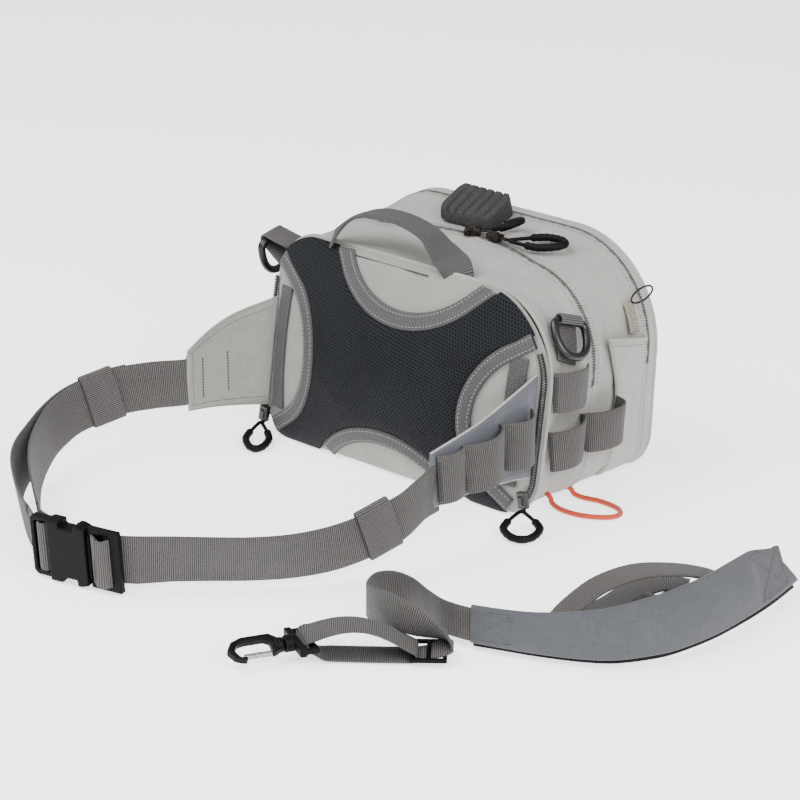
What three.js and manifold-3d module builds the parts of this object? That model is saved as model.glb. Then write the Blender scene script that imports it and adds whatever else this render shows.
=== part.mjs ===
import * as THREE from "three";
import { mergeVertices } from "three/addons/utils/BufferGeometryUtils.js";
import Module from "manifold-3d";

const wasm = await Module();
wasm.setup();

// Driving dimensions, millimetres. The pack stands on its base, its back towards -Y.
const pack = {
  halfWidth: 145,
  halfLeft: 141,
  depth: 136,
  backHeight: 165,
  frontHeight: 182,
  backTopRadius: 66,
  frontTopRadius: 84,
  backTopLeft: 40,
  frontTopLeft: 66,
  bottomRadius: 32,
  backLean: 0.157,
  frontLean: 0.062,
  wall: 2,
  bulge: 24,
  panelThick: 3,
  frontCrown: 7,
};
const gap = 0.3;
const web = { belt: 38, loop: 31, strap: 25, thick: 1.8 };
const zipLine = { back: 0.4, bow: 0.12, bowHalf: 85, front: 0.92, width: 5.4, lowest: 90 };

const colour = {
  shell: 0xbfbdb9,
  panel: 0xb9b9b4,
  mesh: 0x23262d,
  tape: 0x6f6e70,
  webbing: 0x716d6b,
  wing: 0x868996,
  plastic: 0x1b1c1f,
  rubber: 0x3a3a3c,
  bronze: 0x6e5a48,
  orange: 0xe0573a,
  coil: 0xa89f92,
  steel: 0xc8c8c6,
  slate: 0x6d717a,
};

const v3 = (x, y, z) => new THREE.Vector3(x, y, z);
const lerp = THREE.MathUtils.lerp;
const rad = THREE.MathUtils.degToRad;
const upwards = v3(0, 0, 1);
const ease = (t) => t * t * (3 - 2 * t);

const group = new THREE.Group();

function add(name, geometry, tone, roughness = 0.85, metalness = 0) {
  const material = new THREE.MeshStandardMaterial({ color: tone, roughness, metalness });
  const mesh = new THREE.Mesh(geometry, material);
  mesh.name = name;
  group.add(mesh);
  return mesh;
}

// Turns the faces outwards by the sign of the volume they enclose.
function outward(geometry) {
  const p = geometry.attributes.position;
  const index = geometry.index.array;
  const [a, b, c] = [v3(), v3(), v3()];
  let volume = 0;
  for (let i = 0; i < index.length; i += 3) {
    a.fromBufferAttribute(p, index[i]);
    b.fromBufferAttribute(p, index[i + 1]);
    c.fromBufferAttribute(p, index[i + 2]);
    volume += a.dot(b.cross(c));
  }
  if (volume < 0) {
    for (let i = 0; i < index.length; i += 3) {
      [index[i], index[i + 1]] = [index[i + 1], index[i]];
    }
  }
  return geometry;
}

// A closed solid through rings of equal point count; a loop joins the last ring to the first.
// An end closes on its first point, or on a hub at its middle where the ring is hollowed in.
function loft(rings, loop = false, hubs = false) {
  const size = rings[0].length;
  const index = [];
  const points = rings.flat();
  const spans = loop ? rings.length : rings.length - 1;
  for (let i = 0; i < spans; i++) {
    const a = i * size;
    const b = ((i + 1) % rings.length) * size;
    for (let j = 0; j < size; j++) {
      const k = (j + 1) % size;
      index.push(a + j, a + k, b + k, a + j, b + k, b + j);
    }
  }
  const last = (rings.length - 1) * size;
  if (hubs) {
    const hub = (ring) => ring.reduce((sum, p) => sum.add(p), v3()).divideScalar(size);
    const first = points.push(hub(rings[0]), hub(rings.at(-1))) - 2;
    for (let j = 0; j < size; j++) {
      const k = (j + 1) % size;
      index.push(first, k, j);
      index.push(first + 1, last + j, last + k);
    }
  } else if (!loop) {
    for (let j = 1; j < size - 1; j++) {
      index.push(0, j + 1, j);
      index.push(last, last + j, last + j + 1);
    }
  }
  const geometry = new THREE.BufferGeometry();
  const flat = points.flatMap((p) => [p.x, p.y, p.z]);
  geometry.setAttribute("position", new THREE.Float32BufferAttribute(flat, 3));
  geometry.setIndex(index);
  return outward(geometry);
}

function solid(geometry) {
  const bare = geometry.clone();
  bare.deleteAttribute("normal");
  bare.deleteAttribute("uv");
  const merged = mergeVertices(bare, 1e-3);
  return new wasm.Manifold(
    new wasm.Mesh({
      numProp: 3,
      vertProperties: new Float32Array(merged.attributes.position.array),
      triVerts: new Uint32Array(merged.index.array),
    }),
  );
}

function meshed(body) {
  const m = body.getMesh();
  const geometry = new THREE.BufferGeometry();
  geometry.setAttribute("position", new THREE.BufferAttribute(m.vertProperties, 3));
  geometry.setIndex(new THREE.BufferAttribute(m.triVerts, 1));
  return geometry;
}

// A frame at a point: X along, Z as near up as it can be, Y across.
function frameAt(origin, along, up) {
  const x = along.clone().normalize();
  const y = up.clone().cross(x).normalize();
  const z = x.clone().cross(y);
  return new THREE.Matrix4().makeBasis(x, y, z).setPosition(origin);
}

function boxAt(size, centre) {
  return new THREE.BoxGeometry(size.x, size.y, size.z).translate(centre.x, centre.y, centre.z);
}

// Fills in rows between the rows of a table, every column on a smooth curve.
function fill(rows, steps) {
  const out = [];
  const last = rows.length - 1;
  for (let i = 0; i < last; i++) {
    const near = [rows[Math.max(i - 1, 0)], rows[i], rows[i + 1], rows[Math.min(i + 2, last)]];
    for (let s = 0; s < steps; s++) {
      const t = s / steps;
      const row = {};
      for (const key of Object.keys(rows[0])) {
        const [a, b, c, d] = near.map((r) => r[key]);
        const cubic = (3 * b - a - 3 * c + d) * t * t * t;
        row[key] = 0.5 * (2 * b + (c - a) * t + (2 * a - 5 * b + 4 * c - d) * t * t + cubic);
      }
      out.push(row);
    }
  }
  out.push({ ...rows[last] });
  return out;
}

// A flat strip along a path, its width along `across` at every point.
function ribbon(path, across, width, thick, loop = false) {
  const count = path.length;
  const rings = path.map((p, i) => {
    const before = path[loop ? (i + count - 1) % count : Math.max(i - 1, 0)];
    const after = path[loop ? (i + 1) % count : Math.min(i + 1, count - 1)];
    const along = after.clone().sub(before).normalize();
    const wide = across[i].clone().addScaledVector(along, -across[i].dot(along)).normalize();
    const face = along.clone().cross(wide).multiplyScalar(thick / 2);
    const half = wide.multiplyScalar(width / 2);
    return [
      p.clone().add(half).add(face),
      p.clone().add(half).sub(face),
      p.clone().sub(half).sub(face),
      p.clone().sub(half).add(face),
    ];
  });
  return loft(rings, loop);
}

// The direction of a strip's width when its top leans from upright towards a side.
const leaning = (out, lean) =>
  upwards.clone().multiplyScalar(Math.cos(rad(lean))).addScaledVector(out, Math.sin(rad(lean)));

// Webbing on edge: rows give its lower edge and how far its top leans to the right of its run.
function standing(rows, steps, width, thick) {
  const table = fill(rows, steps);
  const last = table.length - 1;
  const across = table.map((r, i) => {
    const before = table[Math.max(i - 1, 0)];
    const after = table[Math.min(i + 1, last)];
    const along = v3(after.x - before.x, after.y - before.y, 0).normalize();
    const out = along.cross(upwards);
    return leaning(out, r.lean);
  });
  const path = table.map((r, i) => v3(r.x, r.y, r.z).addScaledVector(across[i], width / 2));
  return ribbon(path, across, width, thick);
}

// A tube round a path, its radius from a list or one number.
function tube(path, radius, sides, loop, start) {
  const count = path.length;
  let side = start.clone();
  const rings = path.map((p, i) => {
    const before = path[loop ? (i + count - 1) % count : Math.max(i - 1, 0)];
    const after = path[loop ? (i + 1) % count : Math.min(i + 1, count - 1)];
    const along = after.clone().sub(before).normalize();
    side = side.clone().addScaledVector(along, -side.dot(along)).normalize();
    const other = along.clone().cross(side);
    const r = Array.isArray(radius) ? radius[i] : radius;
    return Array.from({ length: sides }, (_, k) => {
      const turn = (2 * Math.PI * k) / sides;
      return p
        .clone()
        .addScaledVector(side, r * Math.cos(turn))
        .addScaledVector(other, r * Math.sin(turn));
    });
  });
  return loft(rings, loop);
}

// The pack's outline at a share t of its depth: an arch on a flat base with rounded corners.
function section(t) {
  return {
    height: lerp(pack.backHeight, pack.frontHeight, ease(t)),
    top: lerp(pack.backTopRadius, pack.frontTopRadius, t),
    topLeft: lerp(pack.backTopLeft, pack.frontTopLeft, t),
    lean: lerp(pack.backLean, pack.frontLean, t),
  };
}

const cuts = { base: 2, bottomArc: 4, side: 4, topArc: 7, top: 6 };

function outline(t) {
  const { height, top, topLeft } = section(t);
  const w = pack.halfWidth;
  const left = pack.halfLeft;
  const b = pack.bottomRadius;
  const points = [];
  const line = (x0, z0, x1, z1, nx, nz, count) => {
    for (let i = 0; i < count; i++) {
      points.push({ x: lerp(x0, x1, i / count), z: lerp(z0, z1, i / count), nx, nz });
    }
  };
  const arc = (cx, cz, r, from, count) => {
    for (let i = 0; i < count; i++) {
      const a = rad(from + (90 * i) / count);
      const [nx, nz] = [Math.cos(a), Math.sin(a)];
      points.push({ x: cx + r * nx, z: cz + r * nz, nx, nz });
    }
  };
  line(0, 0, w - b, 0, 0, -1, cuts.base);
  arc(w - b, b, b, -90, cuts.bottomArc);
  line(w, b, w, height - top, 1, 0, cuts.side);
  arc(w - top, height - top, top, 0, cuts.topArc);
  line(w - top, height, topLeft - left, height, 0, 1, cuts.top);
  arc(topLeft - left, height - topLeft, topLeft, 90, cuts.topArc);
  line(-left, height - topLeft, -left, b, -1, 0, cuts.side);
  arc(b - left, b, b, 180, cuts.bottomArc);
  line(b - left, 0, 0, 0, 0, -1, cuts.base);
  return points;
}

const depthAt = (t, z) => -pack.depth / 2 + pack.depth * t + section(t).lean * z;

function skin(i, t, lift) {
  const p = outline(t)[i];
  const z = p.z + p.nz * lift;
  return v3(p.x + p.nx * lift, depthAt(t, z), z);
}

// A band round the outline between two depths, its wall inside the skin.
function band(indices, from, to, parts, lift, wall, loop) {
  const rings = indices.map((i) => {
    const share = Array.from({ length: parts + 1 }, (_, k) => lerp(from(i), to(i), k / parts));
    const outer = share.map((t) => skin(i, t, lift));
    const inner = share.map((t) => skin(i, t, lift - wall));
    return [...outer, ...inner.reverse()];
  });
  return loft(rings, loop);
}

const backEdge = outline(0);
const every = backEdge.map((_, i) => i);
const zipped = (i, lowest) => backEdge[i].z >= lowest;
const zipAt = (i) => {
  const p = backEdge[i];
  const bow = p.z > 120 ? Math.max(0, 1 - (p.x / zipLine.bowHalf) ** 2) : 0;
  return zipLine.back + zipLine.bow * bow;
};
const halfZip = zipLine.width / 2 / pack.depth;
const halfGap = gap / 2 / pack.depth;
const slit = (i) => (zipped(i, zipLine.lowest) ? halfZip : halfGap);
const overTop = every.filter((i) => zipped(i, zipLine.lowest)).slice(1, -1);
const zipRim = halfZip - gap / pack.depth;

add("rear_gusset", band(every, () => 0, (i) => zipAt(i) - slit(i), 3, 0, pack.wall, true), colour.shell);
add(
  "main_zip",
  band(overTop, (i) => zipAt(i) - zipRim, (i) => zipAt(i) + zipRim, 1, -0.4, 1.4, false),
  colour.tape,
);
add(
  "main_gusset",
  band(every, (i) => zipAt(i) + slit(i), (i) => zipLine.front - slit(i), 4, 0, pack.wall, true),
  colour.shell,
);
add(
  "front_zip",
  band(overTop, () => zipLine.front - zipRim, () => zipLine.front + zipRim, 1, -0.4, 1.4, false),
  colour.tape,
);

// The front pocket: a shallow cup whose face swells a little towards its middle.
function frontPocket() {
  const rim = zipLine.front;
  const middle = { x: 2, z: 86 };
  const face = [
    { share: 0, push: 0 },
    { share: 0.03, push: 3 },
    { share: 0.2, push: 3 + pack.frontCrown * 0.6 },
    { share: 0.5, push: 3 + pack.frontCrown },
  ];
  const wall = (rows, depthIn) =>
    rows.map((row) =>
      outline(1).map((p) => {
        const x = lerp(p.x - p.nx * depthIn, middle.x, row.share);
        const z = lerp(p.z - p.nz * depthIn, middle.z, row.share);
        return v3(x, depthAt(1, z) + row.push - depthIn, z);
      }),
    );
  const edge = (lift) => every.map((i) => skin(i, rim + slit(i), lift));
  const lining = face.filter((row) => row.share !== 0.2);
  return loft([...wall(lining, pack.wall).reverse(), edge(-pack.wall), edge(0), ...wall(face, 0)]);
}
add("front_pocket", frontPocket(), colour.shell);

// The back panel swells towards the wearer; pieces sewn on it follow the swell.
function panelPoint(x, z, lift) {
  const wide = Math.max(0, 1 - Math.abs(x / pack.halfWidth) ** 2.5);
  const high = Math.max(0, Math.sin((Math.PI * z) / pack.backHeight)) ** 0.8;
  return v3(x, -pack.depth / 2 + pack.backLean * z - pack.bulge * wide * high - lift, z);
}

const panelCentre = { x: 0, z: 80 };

function crownedPlate(edge, lift, thick, shares) {
  const ring = (share, height) =>
    edge.map((p) => panelPoint(lerp(panelCentre.x, p.x, share), lerp(panelCentre.z, p.z, share), height));
  const under = shares.map((s) => ring(s, lift));
  const over = shares.map((s) => ring(s, lift + thick));
  return loft([...under, ...over.reverse()], false, true);
}

add("back_panel", crownedPlate(backEdge, gap, pack.panelThick, [0.15, 0.45, 0.75, 1]), colour.panel);

// The mesh pad is the panel less four round bites, each edged with tape.
const bites = [
  { name: "top", x: 6, z: 220, radius: 98, from: 212, to: 328 },
  { name: "left", x: -147, z: 74, radius: 72, from: -58, to: 58 },
  { name: "bottom", x: 4, z: -58, radius: 97, from: 41, to: 139 },
  { name: "right", x: 147, z: 70, radius: 70, from: 122, to: 238 },
];
const sewnOn = { lift: gap + 1 + pack.panelThick, mesh: 3, tape: 2, tapeWidth: 12, edge: 3.5 };

// How far the pad reaches from the panel's centre at an angle, and which edge stops it.
function reach(turn) {
  const [dx, dz] = [Math.cos(turn), Math.sin(turn)];
  let best = { far: 400, by: "panel" };
  const stop = (far, by) => {
    if (far < best.far) {
      best = { far, by };
    }
  };
  for (let i = 0; i < backEdge.length; i++) {
    const a = backEdge[i];
    const b = backEdge[(i + 1) % backEdge.length];
    const [ex, ez] = [b.x - a.x, b.z - a.z];
    const cross = dx * ez - dz * ex;
    const [px, pz] = [a.x - panelCentre.x, a.z - panelCentre.z];
    const along = (px * ez - pz * ex) / cross;
    const share = (px * dz - pz * dx) / cross;
    if (along > 0 && share >= 0 && share <= 1) {
      stop(along - sewnOn.edge, "panel");
    }
  }
  for (const bite of bites) {
    const [px, pz] = [bite.x - panelCentre.x, bite.z - panelCentre.z];
    const along = px * dx + pz * dz;
    const off = px * px + pz * pz - along * along;
    const half = bite.radius * bite.radius - off;
    if (along > 0 && half > 0) {
      stop(along - Math.sqrt(half), bite.name);
    }
  }
  return best;
}

// Even steps round the pad, and both sides of each corner between two stops.
const padSteps = { fine: 720, each: 15 };
const padRound = Array.from({ length: padSteps.fine }, (_, k) => {
  const turn = (2 * Math.PI * k) / padSteps.fine;
  const { far, by } = reach(turn);
  return { x: panelCentre.x + far * Math.cos(turn), z: panelCentre.z + far * Math.sin(turn), by };
});
const padEdge = padRound.filter((p, k) => {
  const before = padRound.at(k - 1);
  const after = padRound[(k + 1) % padSteps.fine];
  return k % padSteps.each === 0 || before.by !== p.by || after.by !== p.by;
});
add("mesh_pad", crownedPlate(padEdge, sewnOn.lift, sewnOn.mesh, [0.15, 0.45, 0.75, 1]), colour.mesh, 0.95);

// A tape on the panel along a curve with normals, between two offsets from it.
function panelBand(curve, from, to, lift, thick) {
  const rings = curve.map((p) => {
    const corner = (offset, height) => panelPoint(p.x + p.nx * offset, p.z + p.nz * offset, height);
    return [corner(from, lift), corner(to, lift), corner(to, lift + thick), corner(from, lift + thick)];
  });
  return loft(rings);
}

for (const bite of bites) {
  const curve = Array.from({ length: 19 }, (_, k) => {
    const a = rad(lerp(bite.from, bite.to, k / 18));
    const [nx, nz] = [Math.cos(a), Math.sin(a)];
    return { x: bite.x + bite.radius * nx, z: bite.z + bite.radius * nz, nx, nz };
  });
  const inside = curve.filter((p) => {
    const turn = Math.atan2(p.z - panelCentre.z, p.x - panelCentre.x);
    const r = Math.hypot(p.z - panelCentre.z, p.x - panelCentre.x);
    return r < reach(turn).far + 2 && p.z > 4;
  });
  const strip = panelBand(inside, -sewnOn.tapeWidth, -gap - 1.1, sewnOn.lift, sewnOn.tape);
  add("binding_" + bite.name, strip, colour.tape);
}

// Upright tapes near the panel's edges, between the bindings of the side bites.
const edgeTapes = [
  { name: "right", x: 121.5, low: 25, high: 116 },
  { name: "left", x: -121.6, low: 26, high: 121 },
];
for (const row of edgeTapes) {
  const curve = Array.from({ length: 9 }, (_, k) => {
    const z = lerp(row.low, row.high, k / 8);
    return { x: row.x, z, nx: 1, nz: 0 };
  });
  add("edge_tape_" + row.name, panelBand(curve, -4.8, 4.8, sewnOn.lift, 1.2), colour.tape);
}

const sides = { right: 1, left: -1 };
for (const [name, side] of Object.entries(sides)) {
  const zipEdge = backEdge.filter((p) => side * p.x > 100 && p.z > 12 && p.z < 130);
  add("back_zip_" + name, panelBand(zipEdge, -4.3, -0.9, sewnOn.lift, 1.6), colour.mesh);
}

// A point on a flank, right or left by the sign of side, at a share t of the depth and a height.
function flank(t, z, lift, side = 1) {
  const { height, top: right, topLeft } = section(t);
  const top = side > 0 ? right : topLeft;
  const w = side > 0 ? pack.halfWidth : pack.halfLeft;
  const b = pack.bottomRadius;
  let [cx, cz, r] = [0, z, w];
  if (z < b) [cx, cz, r] = [w - b, b, b];
  if (z > height - top) [cx, cz, r] = [w - top, height - top, top];
  const nz = (z - cz) / r;
  const nx = Math.sqrt(1 - nz * nz);
  const high = z + nz * lift;
  return v3(side * (cx + nx * (r + lift)), depthAt(t, high), high);
}

// A patch on the flank: rows give a height at its rear and front edge and the depths it runs between.
function flankPatch(rows, parts, lift, thick, side = 1) {
  const rings = rows.map((row) => {
    const steps = Array.from({ length: parts + 1 }, (_, k) => k / parts);
    const spot = (u, off) => flank(lerp(row.from, row.to, u), lerp(row.rear, row.front, u), off, side);
    const outer = steps.map((u) => spot(u, lift + thick));
    const inner = steps.map((u) => spot(u, lift));
    return [...outer, ...inner.reverse()];
  });
  return loft(rings);
}

// The side pocket's rear edge leans back towards its mouth, which is higher there.
const pocketRows = [
  { rear: 6, front: 6, from: 0.63, to: 0.885 },
  { rear: 12, front: 12, from: 0.63, to: 0.885 },
  { rear: 20, front: 20, from: 0.63, to: 0.885 },
  { rear: 32, front: 32, from: 0.63, to: 0.885 },
  { rear: 55, front: 55, from: 0.63, to: 0.885 },
  { rear: 79, front: 78, from: 0.625, to: 0.885 },
  { rear: 100, front: 95, from: 0.575, to: 0.885 },
  { rear: 112, front: 105, from: 0.545, to: 0.885 },
  { rear: 120, front: 112, from: 0.53, to: 0.885 },
];
for (const [name, side] of Object.entries(sides)) {
  add("side_pocket_" + name, flankPatch(pocketRows, 2, gap, 1.5, side), colour.shell);
}

// Webbing round the flank, bulging away from it between its rows of stitches.
function flankLoops(rows, width, bulgeSteps, side) {
  const path = [];
  for (let i = 0; i < rows.length - 1; i++) {
    const [a, b] = [rows[i], rows[i + 1]];
    for (let k = 0; k < bulgeSteps; k++) {
      const u = k / bulgeSteps;
      const lift = gap + 0.9 + web.thick / 2 + a.bulge * Math.sin(Math.PI * u) ** 0.75;
      const ahead = a.ahead * u * Math.sin(Math.PI * u);
      path.push(flank(lerp(a.t, b.t, u) + ahead, lerp(a.z, b.z, u), lift, side));
    }
  }
  const end = rows.at(-1);
  path.push(flank(end.t, end.z, gap + 0.9 + web.thick / 2, side));
  return ribbon(path, path.map(() => v3(0, 0.1, 1)), width, web.thick);
}

const upperBand = [
  { t: 0.015, z: 94, bulge: 7, ahead: 0 },
  { t: 0.31, z: 94, bulge: 0, ahead: 0 },
];
const lowerRow = [
  { t: 0.04, z: 52, bulge: 11, ahead: 0 },
  { t: 0.325, z: 56, bulge: 15, ahead: 0.07 },
  { t: 0.605, z: 60, bulge: 0, ahead: 0 },
];
for (const [name, side] of Object.entries(sides)) {
  add("side_band_" + name, flankLoops(upperBand, 28, 8, side), colour.webbing);
  add("side_loops_" + name, flankLoops(lowerRow, web.loop, 7, side), colour.webbing);
}

// A ring has a straight bar at its top and an oval below; it hangs in a fold of webbing.
const ring = { bar: 3.2, length: 35, width: 36, sides: 8, points: 18, rise: 10 };
const tab = { width: 20, eye: ring.bar + 0.7 + web.thick / 2 };
function ringAt(centre, down, across) {
  const path = Array.from({ length: ring.points }, (_, k) => {
    const turn = (2 * Math.PI * (k + 0.5)) / ring.points;
    const [c, n] = [Math.cos(turn), Math.sin(turn)];
    const power = c > 0 ? 0.4 : 0.9;
    const bend = (value) => Math.sign(value) * Math.abs(value) ** power;
    const low = ring.length - 2 * ring.bar - ring.rise;
    const drop = c > 0 ? ring.rise * (1 - bend(c)) : ring.rise - low * bend(c);
    const sideways = (ring.width / 2 - ring.bar) * bend(n);
    return centre.clone().addScaledVector(down, drop).addScaledVector(across, sideways);
  });
  return tube(path, ring.bar, ring.sides, true, down.clone().cross(across));
}

// The right fold runs aslant down the rear gusset and keeps its ring against the flank.
const tabRun = { topT: 0.2, topZ: 140, lowT: 0.13, lowZ: 116, steps: 5, lift: 1.6 };
const tabAt = (u) => ({ t: lerp(tabRun.lowT, tabRun.topT, u), z: lerp(tabRun.lowZ, tabRun.topZ, u) });
const tabSpot = (u, lift) => flank(tabAt(u).t, tabAt(u).z, lift);
const tabFace = (u) => {
  const { t, z } = tabAt(u);
  const ahead = flank(t + 0.05, z, 0).sub(flank(t - 0.05, z, 0));
  return ahead.cross(flank(t, z + 1, 0).sub(flank(t, z - 1, 0))).normalize();
};
const tabDown = tabSpot(0.85, 0).sub(tabSpot(1, 0)).normalize();
const tabAcross = tabFace(1).cross(tabDown).normalize();
const tabOut = tabDown.clone().cross(tabAcross).normalize();
const tabPath = [];
const tabWide = [];
for (let k = 0; k <= tabRun.steps; k++) {
  const u = k / tabRun.steps;
  tabPath.push(tabSpot(u, tabRun.lift));
  tabWide.push(tabFace(u).cross(tabDown).normalize());
}
const eyeCentre = tabPath.at(-1).clone().addScaledVector(tabOut, tab.eye);
for (let k = 1; k <= 9; k++) {
  const turn = rad(-90 - 25 * k);
  const out = tabOut.clone().multiplyScalar(tab.eye * Math.sin(turn));
  tabPath.push(eyeCentre.clone().add(out).addScaledVector(tabDown, tab.eye * Math.cos(turn)));
  tabWide.push(tabAcross);
}
add("ring_tab_right", ribbon(tabPath, tabWide, tab.width, web.thick), colour.webbing);
add("ring_right", ringAt(eyeCentre, tabDown, tabAcross), colour.plastic, 0.4);

// The left fold stands out from the gusset and its ring hangs straight down.
const leftEye = v3(-163, -34, 150);
const leftAcross = v3(0, 0.98, 0.2).normalize();
const leftOut = v3(-0.92, 0, 0.39);
const leftUp = leftAcross.clone().cross(leftOut).normalize();
const leftFrom = { upper: flank(0.1, 147, 2.4, -1), lower: flank(0.1, 132, 2.4, -1) };
const leftPath = [leftFrom.upper];
const overEye = leftEye.clone().addScaledVector(leftUp, tab.eye);
const underEye = leftEye.clone().addScaledVector(leftUp, -tab.eye);
leftPath.push(leftFrom.upper.clone().lerp(overEye, 0.5));
for (let k = 0; k <= 8; k++) {
  const turn = rad(90 - 22.5 * k);
  const high = leftUp.clone().multiplyScalar(tab.eye * Math.sin(turn));
  leftPath.push(leftEye.clone().add(high).addScaledVector(leftOut, tab.eye * Math.cos(turn)));
}
leftPath.push(leftFrom.lower.clone().lerp(underEye, 0.5));
leftPath.push(leftFrom.lower);
const leftHang = v3(0, leftAcross.z, -leftAcross.y);
add("ring_tab_left", ribbon(leftPath, leftPath.map(() => leftAcross), tab.width, web.thick), colour.webbing);
add("ring_left", ringAt(leftEye, leftHang, leftAcross), colour.plastic, 0.4);

// The ribbed fly patch lies on the top, ribs running from back to front and rising a little that way.
const fly = { width: 56, length: 39, base: 6, rib: 2.8, ribs: 5, perRib: 6, x: -15, from: 0.578, to: 0.85 };
const flyFront = { rise: 8.5, drift: 4 };
function flyPatch() {
  const shape = new THREE.Shape();
  shape.moveTo(-fly.width / 2, 0);
  shape.lineTo(fly.width / 2, 0);
  const count = fly.ribs * fly.perRib;
  for (let k = 0; k <= count; k++) {
    const wave = 0.5 - 0.5 * Math.cos((2 * Math.PI * k) / fly.perRib);
    shape.lineTo(fly.width / 2 - (fly.width * k) / count, fly.base + fly.rib * wave);
  }
  const at = (t) => v3(fly.x, depthAt(t, section(t).height), section(t).height);
  const [back, front] = [at(fly.from), at(fly.to)];
  const run = front.clone().sub(back).normalize();
  const geometry = new THREE.ExtrudeGeometry(shape, { depth: fly.length, bevelEnabled: false });
  const points = geometry.attributes.position;
  for (let i = 0; i < points.count; i++) {
    const share = points.getZ(i) / fly.length;
    points.setX(i, points.getX(i) + flyFront.drift * share);
    points.setY(i, points.getY(i) + (points.getY(i) > 0.01 ? flyFront.rise * share : 0));
  }
  const basis = new THREE.Matrix4().makeBasis(v3(-1, 0, 0), v3(1, 0, 0).cross(run), run);
  basis.setPosition(back.clone().addScaledVector(v3(1, 0, 0).cross(run), 1.1));
  return geometry.applyMatrix4(basis);
}
add("fly_patch", flyPatch(), colour.rubber, 0.9);

// The grab handle rises from the top seam, falls steeply on the right and lies along the seam there.
const handleRows = [
  { x: -87, y: -43, z: 167.8, ax: -0.7, ay: 0.7, az: 0 },
  { x: -72.6, y: -42, z: 182.2, ax: -0.4, ay: 0.9, az: 0 },
  { x: -58.7, y: -40, z: 190.9, ax: -0.1, ay: 1, az: 0 },
  { x: -44.3, y: -38, z: 195, ax: 0, ay: 1, az: 0 },
  { x: -25, y: -37, z: 195.7, ax: 0, ay: 1, az: 0 },
  { x: -5.1, y: -37, z: 193.2, ax: 0, ay: 1, az: 0 },
  { x: 11.5, y: -38, z: 188.6, ax: 0, ay: 1, az: 0 },
  { x: 21, y: -38.5, z: 181, ax: 0, ay: 1, az: -0.1 },
  { x: 29, y: -35, z: 171.8, ax: 0, ay: 1, az: 0 },
  { x: 43, y: -33, z: 168.6, ax: 0, ay: 1, az: 0.05 },
  { x: 62, y: -33, z: 168.4, ax: 0, ay: 1, az: 0.05 },
];
const handle = fill(handleRows, 2);
add(
  "grab_handle",
  ribbon(handle.map((r) => v3(r.x, r.y, r.z)), handle.map((r) => v3(r.ax, r.ay, r.az)), web.strap, 2.2),
  colour.webbing,
);

// Waist wings: the root follows the panel, later rows give plan position, lower and upper edge.
const wing = { thick: 3, rootRight: 138.4, rootLeft: 134.2, narrow: 1.8, rootLow: 28, rootHigh: 112 };
const wingRows = {
  right: [
    { x: 141, y: -95, low: 31, high: 104 },
    { x: 140, y: -130, low: 34, high: 93 },
    { x: 135, y: -174, low: 34, high: 82 },
  ],
  left: [
    { x: -145, y: -95, low: 27, high: 104 },
    { x: -149, y: -120, low: 31, high: 95 },
    { x: -146, y: -147, low: 36, high: 85 },
  ],
};
function wingGeometry(rows, side) {
  const lift = sewnOn.lift + 1;
  const out = side > 0 ? wing.rootRight : wing.rootLeft;
  const lines = [
    {
      low: panelPoint(side * out, wing.rootLow, lift),
      high: panelPoint(side * (out - wing.narrow), wing.rootHigh, lift),
    },
    ...fill(rows, 3).map((r) => ({ low: v3(r.x, r.y, r.low), high: v3(r.x, r.y, r.high) })),
  ];
  const rings = lines.map((line, i) => {
    const before = lines[Math.max(i - 1, 0)].low;
    const after = lines[Math.min(i + 1, lines.length - 1)].low;
    const along = after.clone().sub(before).setZ(0).normalize();
    const half = along.cross(upwards).multiplyScalar(wing.thick / 2);
    return [
      line.low.clone().add(half),
      line.high.clone().add(half),
      line.high.clone().sub(half),
      line.low.clone().sub(half),
    ];
  });
  return loft(rings);
}
add("wing_right", wingGeometry(wingRows.right, 1), colour.wing);
add("wing_left", wingGeometry(wingRows.left, -1), colour.panel);

// Webbing on the wing's outer face, bulging between its rows of stitches.
const wingLoopRows = {
  right: [
    { y: -72, x: 139.6, z: 72, bulge: 13 },
    { y: -106, x: 141, z: 70, bulge: 11.5 },
    { y: -145, x: 138.6, z: 63, bulge: 5 },
    { y: -170, x: 135.6, z: 61, bulge: 0 },
  ],
  left: [
    { y: -78, x: -140.5, z: 58, bulge: 10 },
    { y: -104, x: -146.8, z: 58, bulge: 9 },
    { y: -130, x: -148.9, z: 59, bulge: 4 },
    { y: -144, x: -146.6, z: 60, bulge: 0 },
  ],
};
function wingLoops(rows, side) {
  const path = [];
  const steps = 6;
  for (let i = 0; i < rows.length - 1; i++) {
    for (let k = 0; k < steps; k++) {
      const u = k / steps;
      const lift = wing.thick / 2 + gap + web.thick / 2 + 0.5 + rows[i].bulge * Math.sin(Math.PI * u) ** 0.75;
      path.push(
        v3(
          lerp(rows[i].x, rows[i + 1].x, u) + side * lift,
          lerp(rows[i].y, rows[i + 1].y, u),
          lerp(rows[i].z, rows[i + 1].z, u),
        ),
      );
    }
  }
  const end = rows.at(-1);
  path.push(v3(end.x + side * (wing.thick / 2 + gap + web.thick / 2 + 0.5), end.y, end.z));
  return ribbon(path, path.map(() => upwards), web.belt - 2, web.thick);
}
add("wing_loops_right", wingLoops(wingLoopRows.right, 1), colour.webbing);
add("wing_loops_left", wingLoops(wingLoopRows.left, -1), colour.webbing);

// The buckle's frame: X along the belt, Y towards the pack, Z up its height.
const buckle = {
  length: 50,
  height: 48,
  thick: 12,
  endBar: 3.5,
  midBar: { from: 8.6, to: 11.6, thick: 3 },
  slotEnd: 17,
  bar: 4,
  plug: 26,
  wrap: 4.3,
  rail: 4.6,
};
const buckleFrame = frameAt(v3(-55, -385, 1.4), v3(0.977, 0.212, 0), v3(-0.15, -0.12, 1));
const inBuckle = (x, y, z) => v3(x, y, z).applyMatrix4(buckleFrame);
const buckleUp = v3().setFromMatrixColumn(buckleFrame, 2);

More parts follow.
